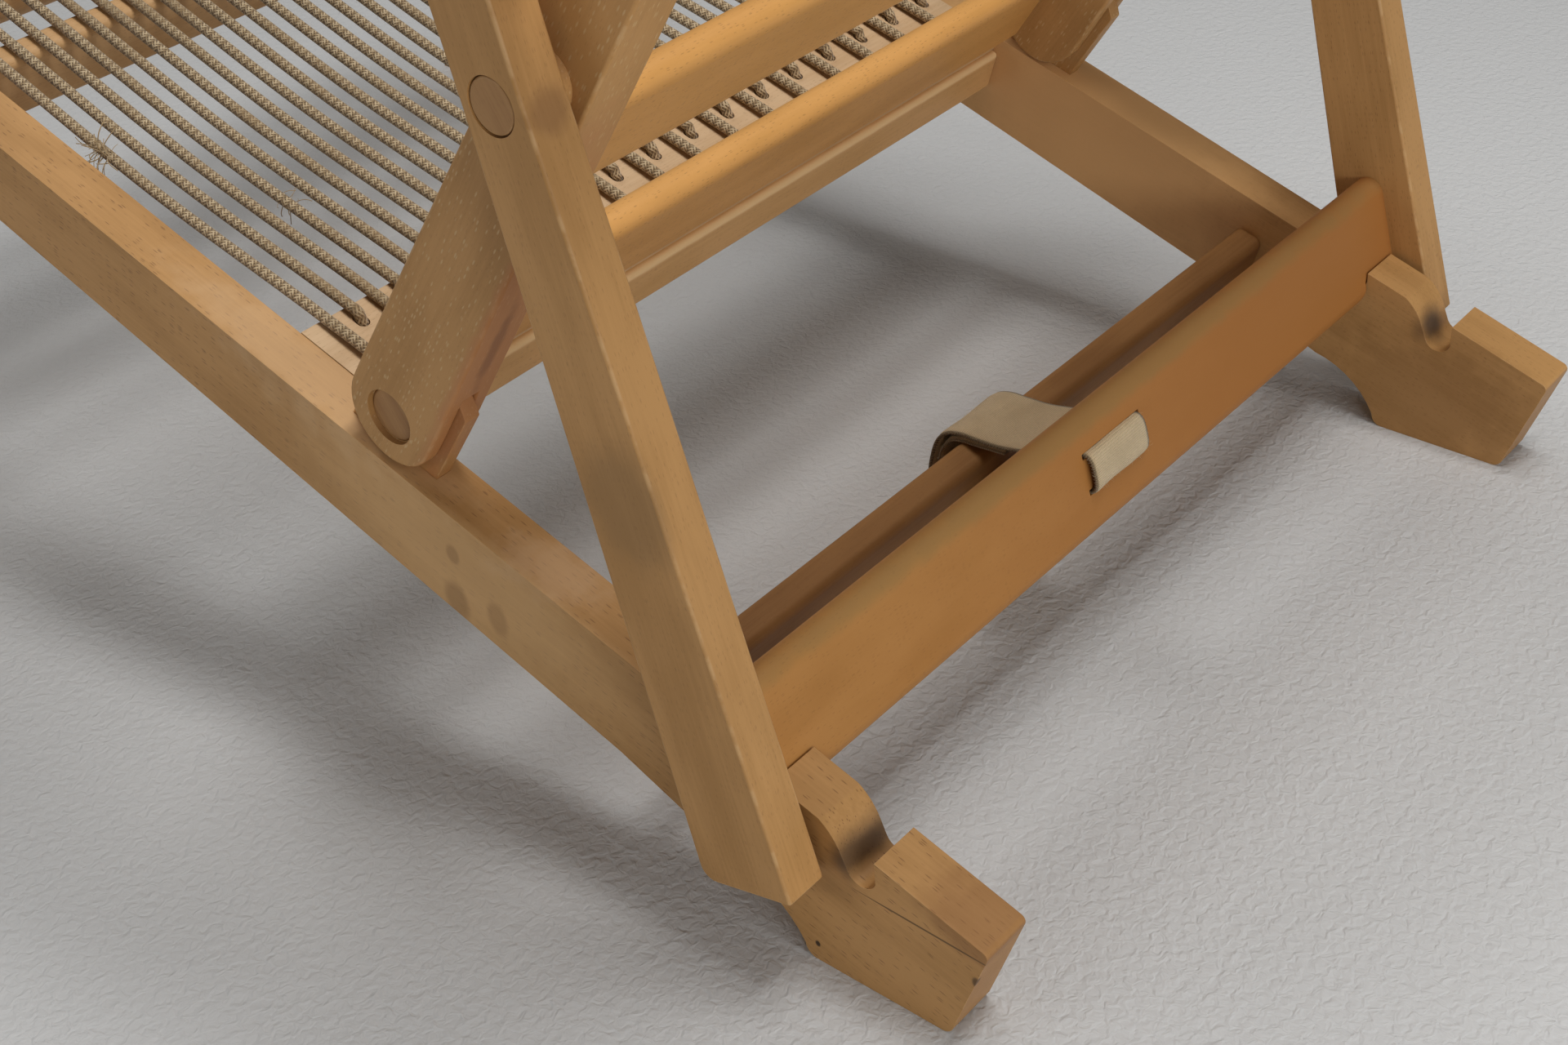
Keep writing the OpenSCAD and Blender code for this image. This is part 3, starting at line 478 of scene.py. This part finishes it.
def smoothPath(points, step):
    # a curve through the points, sampled at an even step; near points bend it less than far ones
    out, last, tiny = [], len(points) - 1, 1e-4
    for i in range(last):
        p0, p1, p2, p3 = (points[min(max(k, 0), last)] for k in (i - 1, i, i + 1, i + 2))
        d1, d2, d3 = (max((b - a).length, tiny) ** 0.5 for a, b in ((p0, p1), (p1, p2), (p2, p3)))
        m1 = m2 = p2 - p1
        if i:
            m1 = m1 + d2 * ((p1 - p0) / d1 - (p2 - p0) / (d1 + d2))
        if i < last - 1:
            m2 = m2 + d2 * ((p3 - p2) / d3 - (p3 - p1) / (d2 + d3))
        pieces = max(1, round((p2 - p1).length / step))
        for t in (j / pieces for j in range(pieces)):
            out.append((2 * t ** 3 - 3 * t ** 2 + 1) * p1 + (t ** 3 - 2 * t ** 2 + t) * m1
                       + (3 * t ** 2 - 2 * t ** 3) * p2 + (t ** 3 - t ** 2) * m2)
    return out + [points[-1]]


def wireMesh(name, paths):
    vertices, edges = [], []
    for path in paths:
        edges += [(len(vertices) + i, len(vertices) + i + 1) for i in range(len(path) - 1)]
        vertices += [tuple(point) for point in path]
    mesh = bpy.data.meshes.new(name)
    mesh.from_pydata(vertices, edges, [])
    return mesh


def growthTree(name, **sockets):
    tree = bpy.data.node_groups.new(name, "GeometryNodeTree")
    newSocket = tree.interface.new_socket
    newSocket("Geometry", in_out="INPUT", socket_type="NodeSocketGeometry")
    for key, kind in sockets.items():
        newSocket(key, in_out="INPUT", socket_type="NodeSocket" + kind)
    newSocket("Geometry", in_out="OUTPUT", socket_type="NodeSocketGeometry")
    return tree, tree.nodes.new("NodeGroupInput").outputs


def finishTree(tree, shape, material):
    whole = addNode(tree, "GeometryNodeRealizeInstances", {}, {0: shape})
    whole = addNode(tree, "GeometryNodeSetShadeSmooth", {}, {0: whole})
    whole = addNode(tree, "GeometryNodeSetMaterial", {}, {0: whole, "Material": material})
    addNode(tree, "NodeGroupOutput", {}, {0: whole})
    return tree


def grow(name, start, tree, values):
    # the tree's named inputs are set before its first evaluation, and a plain mesh comes back
    holder = bpy.data.objects.new(name + "Start", start)
    bpy.context.scene.collection.objects.link(holder)
    modifier = holder.modifiers.new("grow", "NODES")
    modifier.node_group = tree
    for item in tree.interface.items_tree:
        if item.in_out == "INPUT" and item.name in values:
            modifier[item.identifier] = values[item.name]
    shaped = holder.evaluated_get(bpy.context.evaluated_depsgraph_get())
    mesh = bpy.data.meshes.new_from_object(shaped)
    mesh.name = name
    holder.modifiers.remove(modifier)
    bpy.data.objects.remove(holder)
    return mesh


# kinds of node and settings that the growing shapes share
storeNode, profileNode = "GeometryNodeStoreNamedAttribute", "GeometryNodeCurvePrimitiveCircle"
randomNode, turnNode = "FunctionNodeRandomValue", "FunctionNodeRotateRotation"
single, triple = dict(data_type="FLOAT"), dict(data_type="FLOAT_VECTOR")


def cordTree():
    # a round tube along the path, keeping its metres and its turn about the core for the braid
    tree, given = growthTree("layCord", radius="Float", sides="Int", material="Material")
    path = addNode(tree, "GeometryNodeMeshToCurve", {}, {0: given["Geometry"]})
    metres = addNode(tree, "GeometryNodeSplineParameter", {}, {}, "Length")
    path = addNode(tree, storeNode, dict(single, domain="POINT"),
                   {0: path, "Name": "metres", "Value": metres})
    ring = addNode(tree, profileNode, {}, {"Resolution": given["sides"], "Radius": given["radius"]})
    where = addNode(tree, "GeometryNodeInputPosition", {}, {})
    ring = addNode(tree, storeNode, dict(triple, domain="POINT"),
                   {0: ring, "Name": "around", "Value": where})
    tube = addNode(tree, "GeometryNodeCurveToMesh", {}, {0: path, 1: ring, "Fill Caps": True})
    return finishTree(tree, tube, given["material"])


# one loose hair, for a length of 1: it stands up, bends over and turns any way
hairShape = dict(middle=(0.15, 0.1, 0.6), end=(0.9, 0.25, 0.75), points=5, sides=3,
                 leastTurn=(-0.5, -0.5, 0), mostTurn=(0.5, 0.5, 6.283), shortest=0.35)


def fibreTree(shape):
    # bent hairs standing out of a surface near one place
    tree, given = growthTree("frayFibres", density="Float", length="Float", thickness="Float",
                             place="Vector", reach="Float", seed="Int", material="Material")
    where = addNode(tree, "GeometryNodeInputPosition", {}, {})
    away = addNode(tree, "ShaderNodeVectorMath", dict(operation="DISTANCE"),
                   {0: where, 1: given["place"]}, 1)
    near = addNode(tree, "FunctionNodeCompare", dict(single, operation="LESS_THAN"),
                   {0: away, 1: given["reach"]})
    points = addNode(tree, "GeometryNodeDistributePointsOnFaces", {},
                     {0: given["Geometry"], "Selection": near, "Density": given["density"],
                      "Seed": given["seed"]})
    hair = addNode(tree, "GeometryNodeCurveQuadraticBezier", {},
                   {"Resolution": shape["points"], "Start": (0, 0, 0), "Middle": shape["middle"],
                    "End": shape["end"]})
    ring = addNode(tree, profileNode, {},
                   {"Resolution": shape["sides"], "Radius": given["thickness"]})
    hair = addNode(tree, "GeometryNodeCurveToMesh", {}, {0: hair, 1: ring})
    spin = addNode(tree, randomNode, triple,
                   {0: shape["leastTurn"], 1: shape["mostTurn"], "Seed": given["seed"]})
    spin = addNode(tree, "FunctionNodeEulerToRotation", {}, {0: spin})
    turned = addNode(tree, turnNode, dict(rotation_space="LOCAL"),
                     {0: points.node.outputs["Rotation"], 1: spin})
    chance = addNode(tree, randomNode, single,
                     {2: shape["shortest"], 3: 1.0, "Seed": given["seed"]}, 1)
    size = addNode(tree, mathNode, multiply, {0: chance, 1: given["length"]})
    hairs = addNode(tree, "GeometryNodeInstanceOnPoints", {},
                    {"Points": points, "Instance": hair, "Rotation": turned, "Scale": size})
    return finishTree(tree, hairs, given["material"])


# one stitch, for a length and a thickness of 1, drawn as a bead of few faces
stitchShape = dict(Segments=6, Rings=4, Radius=0.5)


def stitchTree(shape):
    # short slanting threads set at an even pitch along a line
    tree, given = growthTree("stitchRow", pitch="Float", thread="Float", length="Float",
                             slant="Float", drift="Float", seed="Int", material="Material")
    line = addNode(tree, "GeometryNodeMeshToCurve", {}, {0: given["Geometry"]})
    line = addNode(tree, "GeometryNodeResampleCurve", dict(mode="LENGTH"),
                   {0: line, "Length": given["pitch"]})
    tangent = addNode(tree, "GeometryNodeInputTangent", {}, {})
    facing = addNode(tree, "FunctionNodeAlignRotationToVector", dict(axis="X"), {"Vector": tangent})
    least = addNode(tree, mathNode, multiply, {0: given["drift"], 1: -1.0})
    drift = addNode(tree, randomNode, single,
                    {2: least, 3: given["drift"], "Seed": given["seed"]}, 1)
    lean = addNode(tree, mathNode, add, {0: given["slant"], 1: drift})
    lean = addNode(tree, "ShaderNodeCombineXYZ", {}, {2: lean})
    lean = addNode(tree, "FunctionNodeEulerToRotation", {}, {0: lean})
    facing = addNode(tree, turnNode, dict(rotation_space="LOCAL"), {0: facing, 1: lean})
    thread = addNode(tree, "GeometryNodeMeshUVSphere", {}, shape)
    size = addNode(tree, "ShaderNodeCombineXYZ", {},
                   {0: given["length"], 1: given["thread"], 2: given["thread"]})
    row = addNode(tree, "GeometryNodeInstanceOnPoints", {},
                  {"Points": line, "Instance": thread, "Rotation": facing, "Scale": size})
    return finishTree(tree, row, given["material"])


# braided cotton cord, soiled by years of use: eight strands crossing every 2.5 mm, with a painted
# highlight that makes them pale where they pass over and painted shade that makes them darker in
# the hollows between them
braid = dict(
    crown="#D2BE9C", yarn="#AE9672", valley="#5C4832", soil="#967C58", strands=8.0, step=0.0025,
    rough=0.9, specular=0.15, sheen=0.3, weaveLift=0.25, crestFrom=0.72, crestTo=0.98,
    sunkFrom=0.35, sunkCover=0.9, soilScale=26.0, soilFrom=0.45, soilTo=0.72, soilCover=0.5,
    fuzzScale=1900.0, fuzz=0.3, bump=0.8, bumpDepth=0.0006)


def cordMaterial(look):
    material, tree, shader = newMaterial("braidedCottonCord", look["rough"], look["specular"])
    around = addNode(tree, attributeNode, dict(attribute_name="around"), {}, "Vector")
    parts = addNode(tree, "ShaderNodeSeparateXYZ", {}, {0: around})
    angle = addNode(tree, mathNode, dict(operation="ARCTAN2"),
                    {0: parts.node.outputs[1], 1: parts})
    column = addNode(tree, mathNode, multiply, {0: angle, 1: look["strands"] / (2 * math.pi)})
    metres = addNode(tree, attributeNode, dict(attribute_name="metres"), {}, "Fac")
    row = addNode(tree, mathNode, dict(operation="DIVIDE"), {0: metres, 1: look["step"]})
    # each strand rises where it passes over and sinks where it passes under its neighbour
    sine, strandHeights = dict(operation="SINE"), []
    for way, phase in ((add, 0.0), (subtract, 0.5)):
        lane = addNode(tree, mathNode, way, {0: row, 1: column})
        lane = addNode(tree, mathNode, add, {0: lane, 1: 64.0})  # above nothing all round
        lane = addNode(tree, mathNode, dict(operation="FRACT"), {0: lane})
        lane = addNode(tree, mathNode, multiply, {0: lane, 1: math.pi})
        crown = addNode(tree, mathNode, sine, {0: lane})
        wave = addNode(tree, mathNode, multiplyAdd, {0: row, 1: math.pi, 2: phase * math.pi})
        wave = addNode(tree, mathNode, sine, {0: wave})
        lift = addNode(tree, mathNode, multiplyAdd,
                       {0: wave, 1: look["weaveLift"], 2: 1 - look["weaveLift"]})
        strandHeights.append(addNode(tree, mathNode, multiply, {0: crown, 1: lift}))
    height = addNode(tree, mathNode, dict(operation="MAXIMUM"), dict(enumerate(strandHeights)))
    place = addNode(tree, "ShaderNodeTexCoord", {}, {}, "Object")
    fuzz = addNode(tree, noiseNode, {},
                   {"Vector": place, "Scale": look["fuzzScale"], "Detail": 2.0})
    dirt = addNode(tree, noiseNode, {},
                   {"Vector": place, "Scale": look["soilScale"], "Detail": 3.0})
    # painted highlight on the tops of the strands, and painted shade in the hollows between them
    crestHighlight = addNode(tree, rangeNode, soft, {0: height, 1: look["crestFrom"], 2: look["crestTo"]})
    yarn = addNode(tree, mixNode, over,
                   {0: crestHighlight, 6: colour(look["yarn"]), 7: colour(look["crown"])}, 2)
    sunkShade = addNode(tree, rangeNode, soft, {0: height, 1: look["sunkFrom"], 2: look["crestFrom"],
                                           3: look["sunkCover"], 4: 0.0})
    yarn = addNode(tree, mixNode, over, {0: sunkShade, 6: yarn, 7: colour(look["valley"])}, 2)
    soiled = addNode(tree, rangeNode, soft, {0: dirt, 1: look["soilFrom"], 2: look["soilTo"],
                                             3: 0.0, 4: look["soilCover"]})
    yarn = addNode(tree, mixNode, over, {0: soiled, 6: yarn, 7: colour(look["soil"])}, 2)
    rise = addNode(tree, mathNode, multiplyAdd, {0: fuzz, 1: look["fuzz"], 2: height})
    bump = addNode(tree, bumpNode, {},
                   {"Strength": look["bump"], "Distance": look["bumpDepth"], "Height": rise})
    tree.links.new(yarn, shader.inputs["Base Color"])
    tree.links.new(bump, shader.inputs["Normal"])
    shader.inputs["Sheen Weight"].default_value = look["sheen"]
    return material


# loose hairs of the same cotton: matt, with a soft sheen where light passes them
fibre = dict(fluff="#C9B590", broken="#A88F68", rough=0.8, specular=0.2, sheen=0.3)


def fibreMaterial(name, hexText):
    material, tree, shader = newMaterial(name, fibre["rough"], fibre["specular"])
    shader.inputs["Base Color"].default_value = colour(hexText)
    shader.inputs["Sheen Weight"].default_value = fibre["sheen"]
    return material


cordLook, fluff = cordMaterial(braid), fibreMaterial("cottonFibre", fibre["fluff"])
broken = fibreMaterial("brokenCottonStrand", fibre["broken"])
cordGrowth, fibreGrowth, stitchGrowth = cordTree(), fibreTree(hairShape), stitchTree(stitchShape)
# short fluff all over, and two tufts of broken strands; thickness is a share of the length
everywhere = dict(place=(0, 0, 0), reach=9.0, thickness=0.02, material=fluff)
fray = dict(
    seatCord=[dict(everywhere, density=22000.0, length=0.0021, seed=3),
              dict(density=320000.0, length=0.013, thickness=0.032, reach=0.011, seed=5,
                   place=railPoint(0.2500, 0.600, 0), material=broken),
              dict(density=140000.0, length=0.009, thickness=0.035, reach=0.005, seed=8,
                   place=railPoint(0.1925, 0.512, 0), material=broken)],
    backCord=[dict(everywhere, density=20000.0, length=0.0021, seed=4)],
)
for deck in decks:
    name, body = deck["name"], deck["body"]
    path = smoothPath(lacedRoute(deck, lacing), lacing["step"])
    tube = grow(name, wireMesh(name + "Path", [path]), cordGrowth,
                dict(radius=lacing["radius"], sides=lacing["sides"], material=cordLook))
    hairs = [grow(name + "Fibres", tube.copy(), fibreGrowth, patch) for patch in fray[name]]
    addPiece(name, tube, cordLook, body, [deck["node"]])
    for number, (mesh, patch) in enumerate(zip(hairs, fray[name])):
        addPiece(name + "Fibres" + str(number), mesh, patch["material"], body, [])
    print(name, "laced:", len(path), "rings,", sum(len(mesh.polygons) for mesh in hairs),
          "fibre faces")

# cotton webbing strap through the leg bar and round the stretcher, its free end folded back inside;
# the route is given on the post for the bar and on the rail for the stretcher, in metres
strap = dict(
    centre=0.004, width=0.048, thick=0.0024, tailThick=0.0018, columns=14, step=0.0015,
    barOffset=0.0028, barHalf=0.009, slotHigh=-0.291889, slotLow=-0.311889,
    stretcherAt=0.171, stretcherTop=-0.022, stretcherDepth=0.038,
    tail=((0.1535, -0.0102), (0.1580, -0.0123), (0.1640, -0.0148), (0.1710, -0.0177),
          (0.1780, -0.0205), (0.1828, -0.0232), (0.1862, -0.0268), (0.1884, -0.0325),
          (0.1888, -0.0420)),
    rimShare=0.5, sway=0.0002, swayAcross=9, swayAlong=0.07, curl=0.0004,
    light="#F0D8AE", dark="#BCA27A", thread="#6A563C", rough=0.9, specular=0.15, sheen=0.25,
    weftWidth=0.0012, warpWidth=0.0009, ribs=0.35, fuzzScale=1100.0, fuzz=0.9, litFrom=-0.25,
    litTo=1.15, dullScale=60.0, dullFrom=0.45, dullTo=0.75, dullCover=0.3, hemFrom=0.0003,
    hemTo=0.0018, hemCover=0.75, bump=0.8, bumpDepth=0.0003, rimInset=0.0001,
    stitches=dict(pitch=0.0019, thread=0.0007, length=0.0024, slant=1.1, drift=0.25, seed=7),
    hairs=dict(density=90000.0, length=0.0022, seed=9))


def strapRoute(s):
    # the small steps take the band round each corner of the bar and of the stretcher
    back, face = s["barOffset"] - s["barHalf"], s["barOffset"] + s["barHalf"]
    high, low, middle = s["slotHigh"], s["slotLow"], s["barOffset"]
    top, under = s["stretcherTop"] + 0.004, s["stretcherTop"] - s["stretcherDepth"] - 0.006
    at, near, far = s["stretcherAt"], s["stretcherAt"] - 0.009, s["stretcherAt"] + 0.020
    post = [(high - 0.001, face + 0.004), (high, face), (high, middle), (high, back),
            (high - 0.0012, back - 0.002), (high - 0.004, back - 0.0032),
            ((high + low) / 2, back - 0.0036), (low + 0.004, back - 0.0032),
            (low + 0.0012, back - 0.002), (low, back), (low, middle), (low, face),
            (low - 0.002, face + 0.006)]
    rail = [(near - 0.008, under + 0.008), (near, under + 0.001), (at, under),
            (far - 0.008, under + 0.002), (far - 0.002, under + 0.009),
            (far + 0.001, (under + top) / 2), (far + 0.0005, top - 0.012),
            (far - 0.0025, top - 0.006), (far - 0.009, top - 0.0008), (at, top + 0.0034),
            (near - 0.006, top + 0.0096)]
    return [postPoint(0, *p) for p in post] + [railPoint(0, *p) for p in rail]


def bandMesh(name, path, closed, thickness, s):
    # a flat band along the path: its UV map holds metres across and metres along
    count, columns = len(path), s["columns"]
    lengths = [0.0]
    for i in range(count):
        lengths.append(lengths[-1] + (path[(i + 1) % count] - path[i]).length)
    vertices, faces, ringSize = [], [], 2 * (columns + 1)
    for i in range(count):
        before, after = (i - 1, (i + 1) % count) if closed else (max(i - 1, 0),
                                                                 min(i + 1, count - 1))
        run = (path[after] - path[before]).normalized()
        out = run.cross(Vector((1, 0, 0))).normalized()
        for side in (1, -1):
            for j in range(columns + 1):
                t = j / columns if side == 1 else 1 - j / columns
                half = thickness / 2 * (s["rimShare"] if t in (0, 1) else 1)
                sway = (s["sway"] * math.sin(s["swayAcross"] * t + i * s["swayAlong"])
                        - s["curl"] * abs(2 * t - 1) ** 4)
                across = Vector((s["centre"] + (t - 0.5) * s["width"], 0, 0))
                vertices.append(path[i] + across + out * (side * half + sway))
    rings = count if closed else count - 1
    for i in range(rings):
        for j in range(ringSize):
            k, n = (j + 1) % ringSize, (i + 1) % count
            faces.append((i * ringSize + j, i * ringSize + k, n * ringSize + k, n * ringSize + j))
    if not closed:
        last = (count - 1) * ringSize
        faces += [tuple(range(ringSize - 1, -1, -1)), tuple(last + j for j in range(ringSize))]
    mesh = bpy.data.meshes.new(name)
    mesh.from_pydata([tuple(v) for v in vertices], [], faces)
    layer, at = mesh.uv_layers.new(name="lay"), 0
    for i in range(rings):
        for j in range(ringSize):
            for ring, column in ((i, j), (i, j + 1), (i + 1, j + 1), (i + 1, j)):
                column %= ringSize
                share = (column if column <= columns else ringSize - 1 - column) / columns
                layer.data[at].uv = (share * s["width"], lengths[ring])
                at += 1
    bm = bmesh.new()
    bm.from_mesh(mesh)
    bmesh.ops.recalc_face_normals(bm, faces=bm.faces)
    bm.to_mesh(mesh)
    bm.free()
    for polygon in mesh.polygons:
        polygon.use_smooth = True
    return mesh


def webbingMaterial(s):
    # cotton webbing: ribs across the band, crossed by fine warp threads, soiled at its rims
    material, tree, shader = newMaterial("cottonWebbing", s["rough"], s["specular"])
    lay = addNode(tree, "ShaderNodeUVMap", dict(uv_map="lay"), {})
    across = addNode(tree, "ShaderNodeSeparateXYZ", {}, {0: lay})
    along = across.node.outputs[1]
    waves = []
    for value, width in ((along, s["weftWidth"]), (across, s["warpWidth"])):
        phase = addNode(tree, mathNode, multiply, {0: value, 1: 2 * math.pi / width})
        waves.append(addNode(tree, mathNode, dict(operation="SINE"), {0: phase}))
    crossing = addNode(tree, mathNode, multiply, {0: waves[0], 1: waves[1]})
    weave = addNode(tree, mathNode, multiplyAdd, {0: waves[0], 1: s["ribs"], 2: crossing})
    place = addNode(tree, "ShaderNodeTexCoord", {}, {}, "Object")
    fuzz = addNode(tree, noiseNode, {}, {"Vector": place, "Scale": s["fuzzScale"], "Detail": 3.0})
    cloud = addNode(tree, noiseNode, {}, {"Vector": place, "Scale": s["dullScale"], "Detail": 2.0})
    mixed = addNode(tree, mathNode, multiplyAdd, {0: fuzz, 1: s["fuzz"], 2: weave})
    lit = addNode(tree, rangeNode, soft, {0: mixed, 1: s["litFrom"], 2: s["litTo"]})
    cloth = addNode(tree, mixNode, over, {0: lit, 6: colour(s["dark"]), 7: colour(s["light"])}, 2)
    dull = addNode(tree, rangeNode, soft,
                   {0: cloud, 1: s["dullFrom"], 2: s["dullTo"], 3: 0.0, 4: s["dullCover"]})
    cloth = addNode(tree, mixNode, over, {0: dull, 6: cloth, 7: colour(s["dark"])}, 2)
    other = addNode(tree, mathNode, subtract, {0: s["width"], 1: across})
    rim = addNode(tree, mathNode, dict(operation="MINIMUM"), {0: across, 1: other})
    hem = addNode(tree, rangeNode, soft,
                  {0: rim, 1: s["hemFrom"], 2: s["hemTo"], 3: s["hemCover"], 4: 0.0})
    cloth = addNode(tree, mixNode, over, {0: hem, 6: cloth, 7: colour(s["thread"])}, 2)
    bump = addNode(tree, bumpNode, {},
                   {"Strength": s["bump"], "Distance": s["bumpDepth"], "Height": mixed})
    tree.links.new(cloth, shader.inputs["Base Color"])
    tree.links.new(bump, shader.inputs["Normal"])
    shader.inputs["Sheen Weight"].default_value = s["sheen"]
    return material


def closedPath(points, step):
    ring = smoothPath([points[-2], points[-1]] + points + [points[0], points[1]], step)
    gap = [(point - points[0]).length for point in ring]
    first = min(range(len(ring)), key=lambda i: gap[i])
    last = max(range(len(ring) - 1, first, -1), key=lambda i: -gap[i])
    return ring[first:last]


webbing = webbingMaterial(strap)
outerPath = closedPath(strapRoute(strap), strap["step"])
tailPath = smoothPath([railPoint(0, *p) for p in strap["tail"]], strap["step"])
addPiece("webbingStrap", bandMesh("webbingStrap", outerPath, True, strap["thick"], strap),
         webbing, "leg_frame", ["webbing_strap"])
addPiece("strapFoldedEnd", bandMesh("strapFoldedEnd", tailPath, False, strap["tailThick"], strap),
         webbing, "leg_frame", [])
# whipped rims: a dark thread slants over both edges of the band
rimAt = [strap["centre"] + side * (strap["width"] / 2 - strap["rimInset"]) for side in (-1, 1)]
rims = [[point + Vector((x, 0, 0)) for point in outerPath + outerPath[:1]] for x in rimAt]
whipping = fibreMaterial("whippingThread", strap["thread"])
stitches = grow("strapWhipping", wireMesh("strapRims", rims), stitchGrowth,
                dict(strap["stitches"], material=whipping))
addPiece("strapWhipping", stitches, whipping, "leg_frame", [])
strapHairs = grow("strapFibres", bpy.data.meshes["webbingStrap"].copy(), fibreGrowth,
                  dict(everywhere, **strap["hairs"]))
addPiece("strapFibres", strapHairs, fluff, "leg_frame", [])
print("strap made:", len(stitches.polygons), "stitch faces,", len(strapHairs.polygons),
      "fibre faces")

# a pale embossed paper floor with lumps about 5 mm wide; two lamps hang high over the chair,
# three stand lower behind it and beside it, and one hangs far in front
studio = dict(
    floor="#CDCDCC", floorSize=12, rough=0.85, specular=0.15, lumpScale=190.0, lumpTwist=0.6,
    lumpBump=0.8, lumpDepth=0.0016, world="#FFFFFF", worldStrength=0.06, aim=(0.0, 0.15, 0.1),
    lamps=[
        dict(name="keyLamp", at=(-0.12, 1.0, 2.64), size=(1.0, 0.5), power=28),
        dict(name="topLamp", at=(-0.3, 0.45, 2.76), size=(0.6, 0.5), power=16.7),
        dict(name="rearLow", at=(0.0, 2.6, 1.3), size=(1.4, 0.8), power=10),
        dict(name="nearLow", at=(1.05, 2.2, 0.68), size=(1.0, 0.4), power=14.5),
        dict(name="leftLow", at=(2.26, -1.15, 0.8), size=(1.0, 0.8), power=10),
        dict(name="farLamp", at=(-0.3, -1.55, 2.17), size=(0.9, 0.6), power=11),
    ],
)


def makeStudio(s):
    half = s["floorSize"] / 2
    corners = [(-half, -half, 0), (half, -half, 0), (half, half, 0), (-half, half, 0)]
    mesh = bpy.data.meshes.new("floor")
    mesh.from_pydata(corners, [], [(0, 1, 2, 3)])
    floor = bpy.data.objects.new("floor", mesh)
    bpy.context.scene.collection.objects.link(floor)
    material, tree, shader = newMaterial("embossedPaper", s["rough"], s["specular"])
    place = addNode(tree, "ShaderNodeTexCoord", {}, {}, "Object")
    lumps = addNode(tree, noiseNode, {}, {"Vector": place, "Scale": s["lumpScale"], "Detail": 2.0,
                                          "Distortion": s["lumpTwist"]})
    bump = addNode(tree, bumpNode, {},
                   {"Strength": s["lumpBump"], "Distance": s["lumpDepth"], "Height": lumps})
    shader.inputs["Base Color"].default_value = colour(s["floor"])
    tree.links.new(bump, shader.inputs["Normal"])
    mesh.materials.append(material)
    world = bpy.data.worlds.new("studio")
    world.use_nodes = True
    backdrop = world.node_tree.nodes["Background"]
    backdrop.inputs["Color"].default_value = colour(s["world"])
    backdrop.inputs["Strength"].default_value = s["worldStrength"]
    bpy.context.scene.world = world
    for lamp in s["lamps"]:
        data = bpy.data.lights.new(lamp["name"], "AREA")
        data.shape = "RECTANGLE"
        data.size, data.size_y = lamp["size"]
        data.energy = lamp["power"]
        lampObject = bpy.data.objects.new(lamp["name"], data)
        lampObject.location = lamp["at"]
        towards = Vector(s["aim"]) - Vector(lamp["at"])
        lampObject.rotation_euler = towards.to_track_quat("-Z", "Y").to_euler()
        bpy.context.scene.collection.objects.link(lampObject)


makeStudio(studio)
bpy.context.scene.view_settings.view_transform = "Standard"
print("studio lit")
